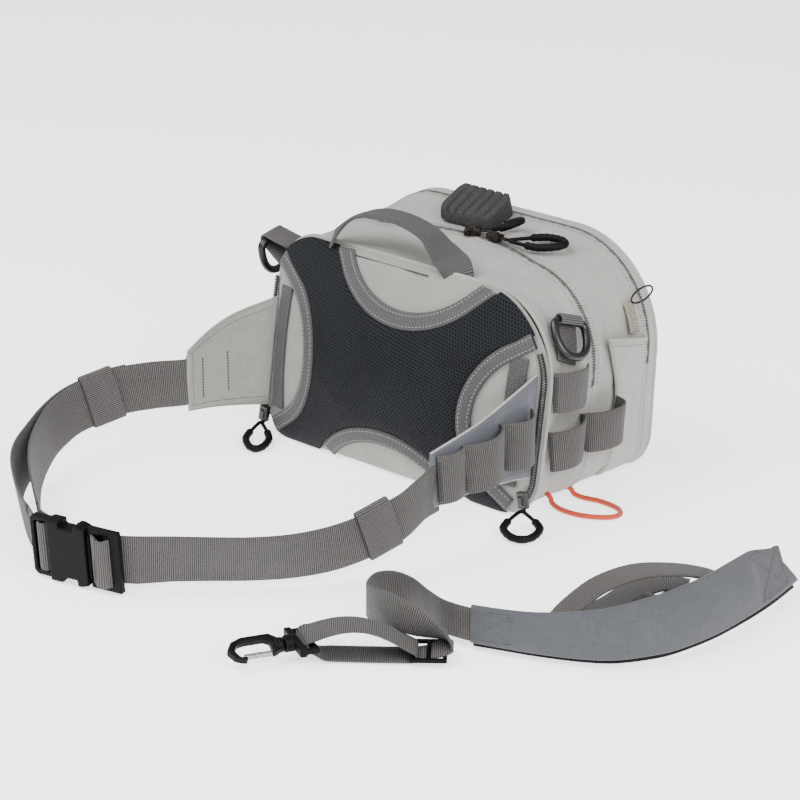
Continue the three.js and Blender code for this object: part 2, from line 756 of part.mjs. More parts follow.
function plate(points, thick) {
  const shape = new THREE.Shape(points.map(([x, z]) => new THREE.Vector2(x, z)));
  const geometry = new THREE.ExtrudeGeometry(shape, { depth: thick, bevelEnabled: false });
  return geometry.rotateX(Math.PI / 2).translate(0, thick / 2, 0);
}

function socket() {
  const { length, height, thick, endBar, midBar, slotEnd, rail } = buckle;
  const chamfer = 3;
  const body = solid(
    plate(
      [
        [0, chamfer],
        [chamfer, 0],
        [length - 6, 0],
        [length, 2],
        [length, height - 2],
        [length - 6, height],
        [chamfer, height],
        [0, height - chamfer],
      ],
      thick,
    ),
  );
  const eased = { x: slotEnd + 1, y: thick, z: height + 4 };
  const front = solid(boxAt(eased, v3(eased.x / 2 - 1, -thick / 2 - 2.6, height / 2)));
  const back = solid(boxAt(eased, v3(eased.x / 2 - 1, thick / 2 + 2.6, height / 2)));
  const open = { x: slotEnd - endBar, y: thick + 4, z: height - 2 * rail };
  const opening = solid(boxAt(open, v3((slotEnd + endBar) / 2, 0, height / 2)));
  const across = { x: midBar.to - midBar.from, y: midBar.thick, z: open.z + 2 };
  const middle = solid(boxAt(across, v3((midBar.from + midBar.to) / 2, 0, height / 2)));
  const mouth = solid(boxAt(v3(30, 7, height - 12), v3(length - 14, 0, height / 2)));
  const window = (z) => solid(boxAt(v3(13, 20, 9), v3(length - 16, 0, z)));
  const thinned = body.subtract(front).subtract(back).subtract(opening).add(middle);
  const hollow = thinned.subtract(mouth).subtract(window(0)).subtract(window(height));
  return meshed(hollow).applyMatrix4(buckleFrame);
}
add("buckle_socket", socket(), colour.plastic, 0.45);

function plug() {
  const { length, height, bar, plug: reachOut, rail } = buckle;
  const start = length + 0.5;
  const open = height - 2 * rail;
  const frame = solid(boxAt(v3(reachOut, 5, height), v3(start + reachOut / 2, 0, height / 2)));
  const first = solid(boxAt(v3(4.2, 9, open), v3(start + 3.4, 0, height / 2)));
  const second = solid(boxAt(v3(7.5, 9, open), v3(start + 5.5 + bar + 3.75, 0, height / 2)));
  const tongue = solid(boxAt(v3(28, 6, height - 14), v3(start - 13, 0, height / 2)));
  return meshed(frame.subtract(first).subtract(second).add(tongue)).applyMatrix4(buckleFrame);
}
add("buckle_plug", plug(), colour.plastic, 0.45);

const midHeight = buckle.height / 2;

// The left belt runs from its wing to the socket, over the middle bar and back outside itself as a tail.
const beltLeftRows = [
  { x: -149, y: -150.5, z: 40, lean: 3, apart: 0 },
  { x: -164, y: -168, z: 38.5, lean: 7, apart: 2.6 },
  { x: -180, y: -187, z: 35, lean: 9, apart: 2.6 },
  { x: -188, y: -207, z: 30, lean: 10, apart: 2.6 },
  { x: -192, y: -226, z: 25, lean: 11, apart: 2.8 },
  { x: -188, y: -248, z: 18, lean: 12, apart: 4 },
  { x: -176, y: -269, z: 13, lean: 12, apart: 7 },
  { x: -162, y: -287, z: 9.5, lean: 12, apart: 11 },
  { x: -145, y: -304, z: 7.5, lean: 11, apart: 13 },
  { x: -122, y: -325, z: 6.5, lean: 10, apart: 13 },
  { x: -96, y: -348, z: 6.2, lean: 9, apart: 11 },
];
function beltLeft() {
  const table = fill(beltLeftRows, 2);
  const last = table.length - 1;
  const inner = table.map((r, i) => {
    const before = table[Math.max(i - 1, 0)];
    const after = table[Math.min(i + 1, last)];
    const along = v3(after.x - before.x, after.y - before.y, 0).normalize();
    const out = along.cross(upwards);
    const across = leaning(out, r.lean);
    const centre = v3(r.x, r.y, r.z).addScaledVector(across, web.belt / 2);
    return { centre, across, outer: centre.clone().addScaledVector(out, r.apart) };
  });
  const threading = [
    [-14, 11.5],
    [-2, 10.4],
    [8, 8.6],
    [12.6, 5],
    [13.4, 1.4],
    [13.3, -2.2],
    [10.1, -3.6],
    [6.9, -2.2],
    [6.7, 1.4],
    [5, 4],
    [-2, 5],
    [-14, 5.6],
  ];
  const looped = threading.map(([x, y]) => inBuckle(x, y, midHeight));
  const tail = inner.slice(2).reverse();
  const path = [...inner.map((r) => r.centre), ...looped, ...tail.map((r) => r.outer)];
  const level = looped.map(() => buckleUp);
  const across = [...inner.map((r) => r.across), ...level, ...tail.map((r) => r.across)];
  return ribbon(path, across, web.belt, web.thick);
}
add("belt_left", beltLeft(), colour.webbing);

const beltRightRows = [
  { x: 135.2, y: -178, z: 33.5, lean: -3 },
  { x: 136, y: -190, z: 31, lean: -5 },
  { x: 134, y: -206, z: 24, lean: -6 },
  { x: 126, y: -226, z: 16, lean: -7 },
  { x: 113, y: -253, z: 9.5, lean: -9 },
  { x: 96, y: -277, z: 6.5, lean: -12 },
  { x: 76, y: -299, z: 5.6, lean: -13 },
  { x: 56, y: -319, z: 5.8, lean: -12 },
  { x: 38, y: -338, z: 6.2, lean: -10 },
];
function beltRight() {
  const table = fill(beltRightRows, 2);
  const last = table.length - 1;
  const run = table.map((r, i) => {
    const before = table[Math.max(i - 1, 0)];
    const after = table[Math.min(i + 1, last)];
    const along = v3(after.x - before.x, after.y - before.y, 0).normalize();
    const out = along.cross(upwards);
    const across = leaning(out, r.lean);
    return { centre: v3(r.x, r.y, r.z).addScaledVector(across, web.belt / 2), across };
  });
  const { length, plug: reachOut, wrap } = buckle;
  const middle = length + 8;
  const turn = Array.from({ length: 9 }, (_, k) => {
    const a = rad(90 + (180 * k) / 8);
    return inBuckle(middle + wrap * Math.cos(a), wrap * Math.sin(a), midHeight);
  });
  const entry = [
    inBuckle(length + reachOut + 8, 9, midHeight),
    inBuckle(length + reachOut - 2, 5.4, midHeight),
    ...turn,
    inBuckle(middle + 4, -wrap, midHeight),
    inBuckle(middle + 8, -wrap + 0.4, midHeight),
  ];
  const path = [...run.map((r) => r.centre), ...entry];
  const across = [...run.map((r) => r.across), ...entry.map(() => buckleUp)];
  return ribbon(path, across, web.belt, web.thick);
}
add("belt_right", beltRight(), colour.webbing);

// A keeper is a band of webbing round the belt: it holds one layer or two.
function keeper(row, next, lean, layers, side) {
  const along = v3(next.x - row.x, next.y - row.y, next.z - row.z).normalize();
  const flat = along.clone().setZ(0).normalize();
  const out = flat.clone().cross(upwards).multiplyScalar(side);
  const up = leaning(out, lean);
  const tall = up.addScaledVector(along, -up.dot(along)).normalize();
  const away = out.addScaledVector(tall, -out.dot(tall)).addScaledVector(along, -out.dot(along)).normalize();
  const middle = v3((row.x + next.x) / 2, (row.y + next.y) / 2, (row.z + next.z) / 2);
  const centre = middle.addScaledVector(tall, web.belt / 2).addScaledVector(away, (layers - 1) * 1.3);
  const high = web.belt / 2 + 2.2;
  const deep = layers * 1.3 + 2.4;
  const corners = [
    [1, 0.6],
    [0.94, 1],
    [-0.94, 1],
    [-1, 0.6],
    [-1, -0.6],
    [-0.94, -1],
    [0.94, -1],
    [1, -0.6],
  ];
  const path = corners.map(([a, b]) => {
    const level = centre.clone().addScaledVector(tall, high * a);
    return level.addScaledVector(away, deep * b);
  });
  return ribbon(path, path.map(() => along), 27, 1.5, true);
}
add("keeper_left", keeper(beltLeftRows[2], beltLeftRows[3], 9.5, 2, 1), colour.webbing);
add("keeper_right", keeper(beltRightRows[2], beltRightRows[3], 6.5, 1, -1), colour.webbing);

// The bright cord loop lies on the floor at the right foot of the pack.
const cord = { radius: 2, rest: 2.2 };
const cordRows = [
  { x: 134.6, y: -38, z: 7 },
  { x: 138, y: -39.5, z: 3.6 },
  { x: 150, y: -42, z: cord.rest },
  { x: 168, y: -40, z: cord.rest },
  { x: 184, y: -30, z: cord.rest },
  { x: 187, y: -19, z: cord.rest },
  { x: 178, y: -11, z: cord.rest },
  { x: 160, y: -9, z: cord.rest },
  { x: 146, y: -12, z: cord.rest },
  { x: 138, y: -13.5, z: 3.6 },
  { x: 134.6, y: -14, z: 7 },
];
const cordPath = fill(cordRows, 2).map((r) => v3(r.x, r.y, r.z));
add("bottom_loop", tube(cordPath, cord.radius, 8, false, v3(0, 1, 0)), colour.orange, 0.8);

// Zip pulls: a thin cord loop whose far half is sleeved in a thick moulded grip.
const pull = { cord: 1.5, grip: 3, width: 27, points: 14, sides: 8 };
function pullLoop(start, end, sideways) {
  const run = end.clone().sub(start);
  const length = run.length();
  const along = run.normalize();
  const wide = sideways.clone().addScaledVector(along, -sideways.dot(along)).normalize();
  const radii = [];
  const path = Array.from({ length: pull.points }, (_, k) => {
    const turn = (2 * Math.PI * k) / pull.points;
    const forward = (length / 2) * (1 - Math.cos(turn));
    const taper = 0.35 + 0.65 * Math.min(1, (1 - Math.cos(turn)) / 1.2);
    radii.push(1 - Math.cos(turn) > 1.1 ? pull.grip : pull.cord);
    return start
      .clone()
      .addScaledVector(along, forward)
      .addScaledVector(wide, (pull.width / 2 - pull.grip) * taper * Math.sin(turn));
  });
  return tube(path, radii, pull.sides, true, along.clone().cross(wide));
}

// A slider: a body on the teeth and a link towards its pull.
const slider = { length: 13, width: 8, height: 4.6, linkWidth: 4, linkThick: 1.6 };
function sliderBody(link) {
  const body = solid(boxAt(v3(slider.length, slider.width, slider.height), v3(0, 0, slider.height / 2)));
  const neck = solid(
    boxAt(v3(slider.length * 0.5, slider.width * 0.5, 1.6), v3(0, 0, slider.height + 0.6)),
  );
  const tongue = solid(
    boxAt(
      v3(link, slider.linkWidth, slider.linkThick),
      v3(slider.length / 2 + link / 2 - 1, 0, slider.height * 0.6),
    ),
  );
  return meshed(body.add(neck).add(tongue));
}

const onTop = (x, t, lift) => v3(x, depthAt(t, section(t).height), section(t).height + lift);
const atFoot = (x) => panelPoint(x, 17, sewnOn.lift + 1.9);
const outOfPanel = v3(0, -1, -0.15);

// Each slider sits at a point and faces up; its pull starts ahead of it and above it, and ends elsewhere.
const zipEnds = [
  {
    name: "top_right",
    slider: { at: onTop(26, 0.51, 1.2), along: v3(0.93, -0.12, 0.02), up: upwards, link: 9 },
    pull: { ahead: 16.3, above: 2.76, end: v3(84, 35, 180.4), wide: v3(-0.35, 0.92, 0.12) },
  },
  {
    name: "top_left",
    slider: { at: onTop(3, 0.512, 0.8), along: v3(0.86, 0.47, 0.1), up: v3(0, -0.12, 1), link: 9 },
    pull: { ahead: 16.3, above: 2.76, end: v3(36.5, 39, 188), wide: v3(0.5, -0.82, 0.16) },
  },
  {
    name: "back_right",
    slider: { at: atFoot(138.5), along: v3(0.2, 0, -1), up: outOfPanel, link: 4 },
    pull: { ahead: 8, above: 5.36, end: v3(166, -108, 3.4), wide: v3(0.73, 0.68, 0) },
  },
  {
    name: "back_left",
    slider: { at: atFoot(-134.5), along: v3(-0.2, 0, -1), up: outOfPanel, link: 4 },
    pull: { ahead: 8, above: 5.36, end: v3(-108, -112, 3.4), wide: v3(0.7, 0.72, 0) },
  },
];
for (const { name, slider: own, pull: loop } of zipEnds) {
  const frame = frameAt(own.at, own.along, own.up);
  add("slider_" + name, sliderBody(own.link).applyMatrix4(frame), colour.bronze, 0.4, 0.8);
  const start = v3(loop.ahead, 0, loop.above).applyMatrix4(frame);
  add("pull_" + name, pullLoop(start, loop.end, loop.wide), colour.plastic, 0.5);
}

// The front zip's bare tape end on the right flank, and its wire pull.
const tapeEnd = { from: 0.74, to: 0.825 };
const tapeRows = [119, 126, 133, 140].map((z) => ({ rear: z, front: z, ...tapeEnd }));
add("front_zip_end", flankPatch(tapeRows, 1, gap, 1.5), colour.coil);
const wire = { radius: 0.8, length: 19, width: 9, points: 14 };
const wireStart = flank(0.8, 140, 3);
const wireAlong = v3(0.55, 0.55, 0.62).normalize();
const wireWide = wireAlong.clone().cross(v3(0.75, -0.65, 0.1)).normalize();
const wirePath = Array.from({ length: wire.points }, (_, k) => {
  const turn = (2 * Math.PI * k) / wire.points;
  return wireStart
    .clone()
    .addScaledVector(wireAlong, (wire.length / 2) * (1 - Math.cos(turn)))
    .addScaledVector(wireWide, (wire.width / 2) * Math.sin(turn));
});
const wireLoop = tube(wirePath, wire.radius, 6, true, wireAlong.clone().cross(wireWide));
add("front_zip_pull", wireLoop, colour.bronze, 0.35, 0.8);

// The shoulder pad stands on its lower edge, bowed, and its backing shows below it.
const padRows = [
  { x: 259, y: -269, width: 29, thick: 5, lean: 0 },
  { x: 279, y: -262, width: 32, thick: 7.5, lean: 0 },
  { x: 302, y: -253.5, width: 35, thick: 8, lean: -1 },
  { x: 328, y: -241, width: 40, thick: 8, lean: -2 },
  { x: 348, y: -227, width: 42, thick: 8, lean: -5 },
  { x: 362, y: -207, width: 44, thick: 8, lean: -8 },
  { x: 370.5, y: -186, width: 45, thick: 8, lean: -10 },
  { x: 375.5, y: -150, width: 45, thick: 8, lean: -14 },
  { x: 375, y: -112, width: 44, thick: 8, lean: -20 },
  { x: 372, y: -80, width: 41, thick: 7.5, lean: -24 },
  { x: 368, y: -56, width: 34, thick: 5, lean: -24 },
];
const pad = { rest: 5.2, sides: 10, backing: 3, backingSides: 6, drop: 4.4 };
function padStrip(offset, drop, thickAt, sides) {
  const table = fill(padRows, 2);
  const last = table.length - 1;
  const rings = table.map((r, i) => {
    const before = table[Math.max(i - 1, 0)];
    const after = table[Math.min(i + 1, last)];
    const along = v3(after.x - before.x, after.y - before.y, 0).normalize();
    const out = along.clone().cross(upwards);
    const tall = leaning(out, r.lean);
    const face = along.clone().cross(tall);
    const foot = v3(r.x, r.y, pad.rest - 8 * Math.sin(rad(r.lean)));
    const centre = foot.addScaledVector(tall, r.width / 2 - drop).addScaledVector(face, offset(r));
    return Array.from({ length: sides }, (_, k) => {
      const turn = (2 * Math.PI * (k + 0.5)) / sides;
      const bend = (value) => Math.sign(value) * Math.abs(value) ** 0.55;
      return centre
        .clone()
        .addScaledVector(tall, (r.width / 2) * bend(Math.sin(turn)))
        .addScaledVector(face, (thickAt(r) / 2) * bend(Math.cos(turn)));
    });
  });
  return loft(rings);
}
add("shoulder_pad", padStrip(() => 0, 0, (r) => r.thick, pad.sides), colour.slate);
const behind = (r) => -r.thick / 2 - gap - pad.backing / 2;
add("pad_backing", padStrip(behind, pad.drop, () => pad.backing, pad.backingSides), colour.mesh);

const strapLeftRows = [
  { x: 258.05, y: -269.4, z: 6, lean: 0 },
  { x: 236, y: -271, z: 5.6, lean: 0 },
  { x: 213, y: -262, z: 3, lean: 0 },
  { x: 191, y: -254, z: 3, lean: 0 },
  { x: 175, y: -256, z: 4, lean: 0 },
  { x: 169.5, y: -268, z: 5, lean: 0 },
  { x: 178, y: -286, z: 6, lean: 0 },
  { x: 197, y: -299, z: 11.5, lean: 0 },
  { x: 216, y: -303.5, z: 18, lean: 0 },
  { x: 231, y: -302, z: 16.5, lean: 0 },
  { x: 244, y: -297, z: 6.4, lean: 0 },
];
add("strap_left", standing(strapLeftRows, 2, web.strap, web.thick), colour.webbing);

// The right strap leaves the pad on edge, turns flat, arches over and comes back under itself.
const strapRightRows = [
  { x: 361.4, y: -54.3, z: 23.9, ax: -0.33, ay: -0.24, az: 0.91 },
  { x: 357, y: -46, z: 21.3, ax: -0.25, ay: -0.17, az: 0.95 },
  { x: 348.5, y: -43, z: 18, ax: 0, ay: -0.2, az: 0.97 },
  { x: 341, y: -54, z: 15, ax: 0.5, ay: -0.2, az: 0.8 },
  { x: 339.5, y: -74, z: 13, ax: 0.85, ay: -0.4, az: 0.3 },
  { x: 335.5, y: -101.6, z: 24, ax: 0.9, ay: -0.44, az: 0 },
  { x: 326, y: -130, z: 34, ax: 0.9, ay: -0.44, az: 0 },
  { x: 312.6, y: -157, z: 37.5, ax: 0.9, ay: -0.44, az: 0 },
  { x: 300, y: -182, z: 32, ax: 0.9, ay: -0.44, az: 0 },
  { x: 290, y: -201, z: 19, ax: 0.9, ay: -0.44, az: 0 },
  { x: 285, y: -211, z: 8.5, ax: 0.92, ay: -0.4, az: 0 },
  { x: 283.5, y: -213, z: 4.4, ax: 0.94, ay: -0.34, az: 0 },
  { x: 283.8, y: -210, z: 1.9, ax: 0.96, ay: -0.28, az: 0 },
  { x: 284.2, y: -200, z: 1.5, ax: 0.97, ay: -0.2, az: 0 },
  { x: 285, y: -176, z: 1.6, ax: 0.98, ay: -0.1, az: 0 },
  { x: 286, y: -152, z: 2.6, ax: 0.98, ay: -0.2, az: 0 },
  { x: 287, y: -128, z: 5.2, ax: 0.95, ay: -0.3, az: 0 },
  { x: 297, y: -108, z: 7.8, ax: 0.72, ay: -0.69, az: 0 },
  { x: 312, y: -99, z: 7.25, ax: 0.5, ay: -0.86, az: 0 },
];
const strapRight = fill(strapRightRows, 2);
add(
  "strap_right",
  ribbon(
    strapRight.map((r) => v3(r.x, r.y, r.z)),
    strapRight.map((r) => v3(r.ax, r.ay, r.az)),
    web.strap,
    web.thick,
  ),
  colour.webbing,
);

// A slide is a frame with three bars; a loop of webbing runs from its near bar to the hook's eye.
const slide = { width: 34, bar: 3, pitch: 11, rail: 3.2, thick: 2.8, rest: 4.6 };
const eye = { bar: 4, width: 37, arm: 3, reach: 9, height: 11.5, wrap: 4.7 };
const hook = { barrel: 6, bore: 3.3, shank: 2.8, knuckle: 5.5, thick: 6.5, roll: -25 };
const shoulderEnds = {
  left: { slideX: 238, slideY: -305, hookX: 185, hookY: -351, hookAlong: v3(-0.45, -0.9, 0) },
  right: { slideX: 322, slideY: -129, hookX: 325, hookY: -166, hookAlong: v3(0.05, -1, 0) },
};

function slideFrame(end) {
  const along = v3(end.hookX - end.slideX, end.hookY - end.slideY, 0);
  return frameAt(v3(end.slideX, end.slideY, slide.rest), along, upwards);
}
function slidePiece(end) {
  const long = 2 * slide.pitch + slide.bar;
  const whole = solid(boxAt(v3(long, slide.width, slide.thick), v3(-slide.pitch, 0, 0)));
  const hole = v3(slide.pitch - slide.bar, slide.width - 2 * slide.rail, 8);
  const near = solid(boxAt(hole, v3(-slide.pitch / 2, 0, 0)));
  const far = solid(boxAt(hole, v3(-slide.pitch * 1.5, 0, 0)));
  return meshed(whole.subtract(near).subtract(far)).applyMatrix4(slideFrame(end));
}

// The webbing loop in its own upright plane: the floor run, round the eye, the arched run, round the bar.
function hookStrap(end, arch) {
  const start = v3(end.slideX, end.slideY, 0);
  const stop = v3(end.hookX, end.hookY, 0);
  const along = stop.clone().sub(start);
  const length = along.length();
  along.normalize();
  const wideSlide = upwards.clone().cross(along);
  const wideHook = upwards.clone().cross(end.hookAlong.clone().normalize());
  const spot = (x, z) => start.clone().addScaledVector(along, x).setZ(z);
  const points = [];
  const floor = 1.4;
  for (let k = 0; k <= 4; k++) {
    points.push(spot(lerp(3, length - 9, k / 4), floor + 0.6 * (k / 4) ** 3));
  }
  for (let k = 0; k <= 6; k++) {
    const turn = rad(-75 + 28 * k);
    points.push(spot(length + eye.wrap * Math.cos(turn), eye.height + eye.wrap * Math.sin(turn)));
  }
  for (let k = 1; k <= 5; k++) {
    const u = k / 6;
    const rise = lerp(eye.height + eye.wrap, slide.rest + 3.6, u) + arch * Math.sin(Math.PI * u);
    points.push(spot(lerp(length, 0, u), rise));
  }
  for (let k = 0; k <= 4; k++) {
    const turn = rad(100 + 37 * k);
    points.push(spot(3.5 * Math.cos(turn), slide.rest + 3.5 * Math.sin(turn)));
  }
  const across = points.map((p) => {
    const share = THREE.MathUtils.clamp(p.clone().setZ(0).sub(start).dot(along) / length, 0, 1);
    return wideSlide.clone().lerp(wideHook, share);
  });
  return ribbon(points, across, web.strap, 1.6, true);
}

function hookFrame(end) {
  return frameAt(v3(end.hookX, end.hookY, eye.height), end.hookAlong, upwards);
}
function rod(radius, from, to, sides) {
  const round = new THREE.CylinderGeometry(radius, radius, to - from, sides);
  return round.rotateZ(Math.PI / 2).translate((from + to) / 2, 0, 0);
}

function hookBase() {
  const { bar, width, arm, reach: far } = eye;
  const cross = solid(boxAt(v3(bar, width, bar), v3(0, 0, 0)));
  const side = (y) => solid(boxAt(v3(far + bar / 2, arm, bar), v3(far / 2 - bar / 4, y, 0)));
  const yoke = solid(boxAt(v3(5, width, 7), v3(far + 0.5, 0, 0)));
  const barrel = solid(rod(hook.barrel, far + 1, far + 9, 14));
  const bore = solid(rod(hook.bore, far + 3, far + 12, 12));
  const armY = (width - arm) / 2;
  return cross.add(side(armY)).add(side(-armY)).add(yoke).add(barrel).subtract(bore);
}
function hookBody() {
  const shape = new THREE.Shape();
  const outer = [
    [22, -6],
    [27, -9.5],
    [46, -9.5],
    [54, -6.5],
    [58, 0],
    [54, 7],
    [48, 9.7],
    [45.5, 9.7],
    [45.5, 7.7],
    [50, 7.2],
    [53, 1],
    [49.5, -4],
    [44, -5.2],
    [31, -5.2],
    [27.4, -3],
    [27.4, 8],
    [22, 6],
  ];
  outer.forEach(([x, y], i) => (i ? shape.lineTo(x, y) : shape.moveTo(x, y)));
  const plateShape = new THREE.ExtrudeGeometry(shape, { depth: hook.thick, bevelEnabled: false });
  const body = solid(plateShape.translate(0, 0, -hook.thick / 2));
  const shank = solid(rod(hook.shank, eye.reach + 3.6, 22, 12));
  const knuckle = solid(rod(hook.knuckle, eye.reach + 9.5, 23, 14));
  return body.add(shank).add(knuckle);
}
const gateSize = { length: 19.5, width: 2.5, thick: 4, x: 37.9, y: 6.1 };
const hookGate = () =>
  boxAt(v3(gateSize.length, gateSize.width, gateSize.thick), v3(gateSize.x, gateSize.y, 0));
const rolled = new THREE.Matrix4().makeRotationX(rad(hook.roll));

for (const [side, end] of Object.entries(shoulderEnds)) {
  add("slide_" + side, slidePiece(end), colour.plastic, 0.5);
  add("hook_strap_" + side, hookStrap(end, side === "left" ? 11 : 5), colour.webbing);
}
const leftHook = hookFrame(shoulderEnds.left);
add("hook_base_left", meshed(hookBase()).applyMatrix4(leftHook), colour.plastic, 0.5);
add("hook_left", meshed(hookBody()).applyMatrix4(rolled).applyMatrix4(leftHook), colour.plastic, 0.5);
add("hook_gate_left", hookGate().applyMatrix4(rolled).applyMatrix4(leftHook), colour.steel, 0.35, 0.9);
const stem = solid(rod(4, eye.reach + 2, 24, 12));
const gateRoot = solid(boxAt(v3(4, 2.5, 4), v3(28, 6.1, 0)));
const wholeHook = hookBase().add(stem).add(hookBody()).add(solid(hookGate())).add(gateRoot);
add("hook_right", meshed(wholeHook).applyMatrix4(hookFrame(shoulderEnds.right)), colour.plastic, 0.5);

export default group;
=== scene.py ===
import math
import bmesh
import bpy
from mathutils import Matrix, Vector, noise


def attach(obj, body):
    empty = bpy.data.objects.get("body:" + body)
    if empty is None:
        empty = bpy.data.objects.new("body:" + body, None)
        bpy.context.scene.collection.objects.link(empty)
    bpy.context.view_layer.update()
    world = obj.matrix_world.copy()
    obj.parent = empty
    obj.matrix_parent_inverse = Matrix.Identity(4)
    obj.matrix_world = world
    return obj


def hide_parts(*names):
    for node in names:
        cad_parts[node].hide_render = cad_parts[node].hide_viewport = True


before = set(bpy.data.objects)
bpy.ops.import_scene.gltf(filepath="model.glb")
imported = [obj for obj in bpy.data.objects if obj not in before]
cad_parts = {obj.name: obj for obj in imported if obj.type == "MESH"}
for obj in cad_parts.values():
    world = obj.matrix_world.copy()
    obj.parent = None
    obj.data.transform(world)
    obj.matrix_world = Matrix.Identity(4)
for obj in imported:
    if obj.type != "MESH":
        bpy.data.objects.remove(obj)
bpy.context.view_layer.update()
scene = bpy.context.scene
mm = 0.001  # the tables below are in millimetres
up = Vector((0, 0, 1))
sides = {"right": 1, "left": -1}


def lerp(a, b, share):
    return a + (b - a) * share


def turned(degrees):
    return math.cos(math.radians(degrees)), math.sin(math.radians(degrees))


def ease(share):
    return share * share * (3 - 2 * share)


stage = {"floor": 6, "glow": 1.5, "light": 1.7, "sky": 0.42, "key": 40, "fill": 34}


def tone(red, green, blue):  # a picture colour as it has to be under the studio's light
    shares = [c / 255 for c in (red, green, blue)]
    plain = [c / 12.92 if c < 0.0404 else ((c + 0.055) / 1.055) ** 2.4 for c in shares]
    return tuple(c / stage["light"] for c in plain) + (1,)


# shader sums
class Wire:
    def __init__(self, finish, socket):
        self.finish, self.socket = finish, socket

    def maths(self, operation, *values):
        return self.finish.node("ShaderNodeMath", {"operation": operation}, dict(enumerate(values)))

    def __add__(self, other):
        return self.maths("ADD", self, other)

    def __radd__(self, other):
        return self.maths("ADD", other, self)

    def __sub__(self, other):
        return self.maths("SUBTRACT", self, other)

    def __rsub__(self, other):
        return self.maths("SUBTRACT", other, self)

    def __mul__(self, other):
        return self.maths("MULTIPLY", self, other)

    def sine(self):
        return self.maths("SINE", self)

    def size(self):
        return self.maths("ABSOLUTE", self)

    def step(self, low, high):
        sockets = {"Value": self, "From Min": low, "From Max": high}
        return self.finish.node("ShaderNodeMapRange", {"interpolation_type": "SMOOTHSTEP"}, sockets)


class Finish:
    def __init__(self, name, **fixed):
        self.material = bpy.data.materials.new(name)
        self.material.use_nodes = True
        self.tree = self.material.node_tree
        self.tree.nodes.clear()
        self.out = self.tree.nodes.new("ShaderNodeOutputMaterial")
        self.skin = self.tree.nodes.new("ShaderNodeBsdfPrincipled")
        self.tree.links.new(self.skin.outputs[0], self.out.inputs[0])
        for socket, value in fixed.items():
            self.skin.inputs[socket.replace("_", " ")].default_value = value

    def node(self, kind, settings=None, sockets=None, out=0):
        made = self.tree.nodes.new(kind)
        for key, value in (settings or {}).items():
            setattr(made, key, value)
        for key, value in (sockets or {}).items():
            if isinstance(value, Wire):
                self.tree.links.new(value.socket, made.inputs[key])
            else:
                made.inputs[key].default_value = value
        return Wire(self, made.outputs[out])

    def feed(self, socket, wire):
        self.tree.links.new(wire.socket, self.skin.inputs[socket])

    def mix(self, share, a, b):
        return self.node("ShaderNodeMix", {"data_type": "RGBA"}, {0: share, 6: a, 7: b}, 2)

    def place(self):  # millimetres along and across the piece
        return self.node("ShaderNodeUVMap", {"uv_map": "weave"})

    def spot(self):  # millimetres in the pack's own frame
        seat = self.node("ShaderNodeTexCoord", out=3)
        return self.node("ShaderNodeVectorMath", {"operation": "SCALE"}, {0: seat, "Scale": 1000})

    def parts(self, vector):
        return [self.node("ShaderNodeSeparateXYZ", None, {0: vector}, k) for k in range(3)]

    def cloud(self, vector, size, stretch=(1, 1, 1), detail=3, rough=0.55):
        scale = tuple(s / size for s in stretch)
        held = self.node("ShaderNodeMapping", None, {"Vector": vector, "Scale": scale})
        sockets = {"Vector": held, "Scale": 1, "Detail": detail, "Roughness": rough}
        return self.node("ShaderNodeTexNoise", None, sockets)

    def emboss(self, height, depth, strength=1.0):
        bump = {"Height": height, "Distance": depth * mm, "Strength": strength}
        self.feed("Normal", self.node("ShaderNodeBump", None, bump))


# finishes
def oxford(name, colour, dark, pitch=1.15):  # plain woven cloth with a thick yarn
    made = Finish(name, Sheen_Weight=0.12, Sheen_Roughness=0.5, Specular_IOR_Level=0.25)
    place = made.place()
    u, v, _ = made.parts(place)
    over = ((u * (2 * math.pi / pitch)).sine() * (v * (2 * math.pi / pitch)).sine()) * 0.5 + 0.5
    warp = made.cloud(place, 1.4, (0.12, 1, 1), 2)
    weft = made.cloud(place, 1.4, (1, 0.12, 1), 2)
    soil = made.cloud(made.spot(), 55, (1, 1, 1), 4, 0.6)
    yarn = (warp + weft) * 0.5
    share = (yarn * 0.75 + over * 0.35 + soil * 0.5 - 0.35).step(0.05, 0.95)
    made.feed("Base Color", made.mix(share, dark, colour))
    made.feed("Roughness", 0.92 - over * 0.14)
    made.emboss(over * 0.7 + yarn * 0.8, 0.28, 0.75)
    return made.material


def webbing(name, colour, dark, pitch=1.45, line=1.35):  # ribs across, yarns along
    made = Finish(name, Sheen_Weight=0.08, Sheen_Roughness=0.45, Specular_IOR_Level=0.2)
    place = made.place()
    u, v, _ = made.parts(place)
    rib = (u * (math.pi / pitch)).sine().size()
    yarn = (v * (math.pi / line)).sine().size()
    fuzz = made.cloud(place, 1.1, (1, 0.5, 1), 3)
    soil = made.cloud(place, 30, (0.3, 1, 1), 3)
    # the crests of the ribs and yarns are painted lighter and the grooves between them darker: painted
    # highlight and painted shade
    share = (rib * 0.8 + yarn * 0.15 + fuzz * 0.45 + soil * 0.25 - 0.42).step(0.0, 1.0)
    made.feed("Base Color", made.mix(share, dark, colour))
    made.feed("Roughness", 0.9 - rib * 0.2)
    made.emboss(rib * 0.8 + yarn * 0.3 + fuzz * 0.25, 0.4, 0.8)
    return made.material


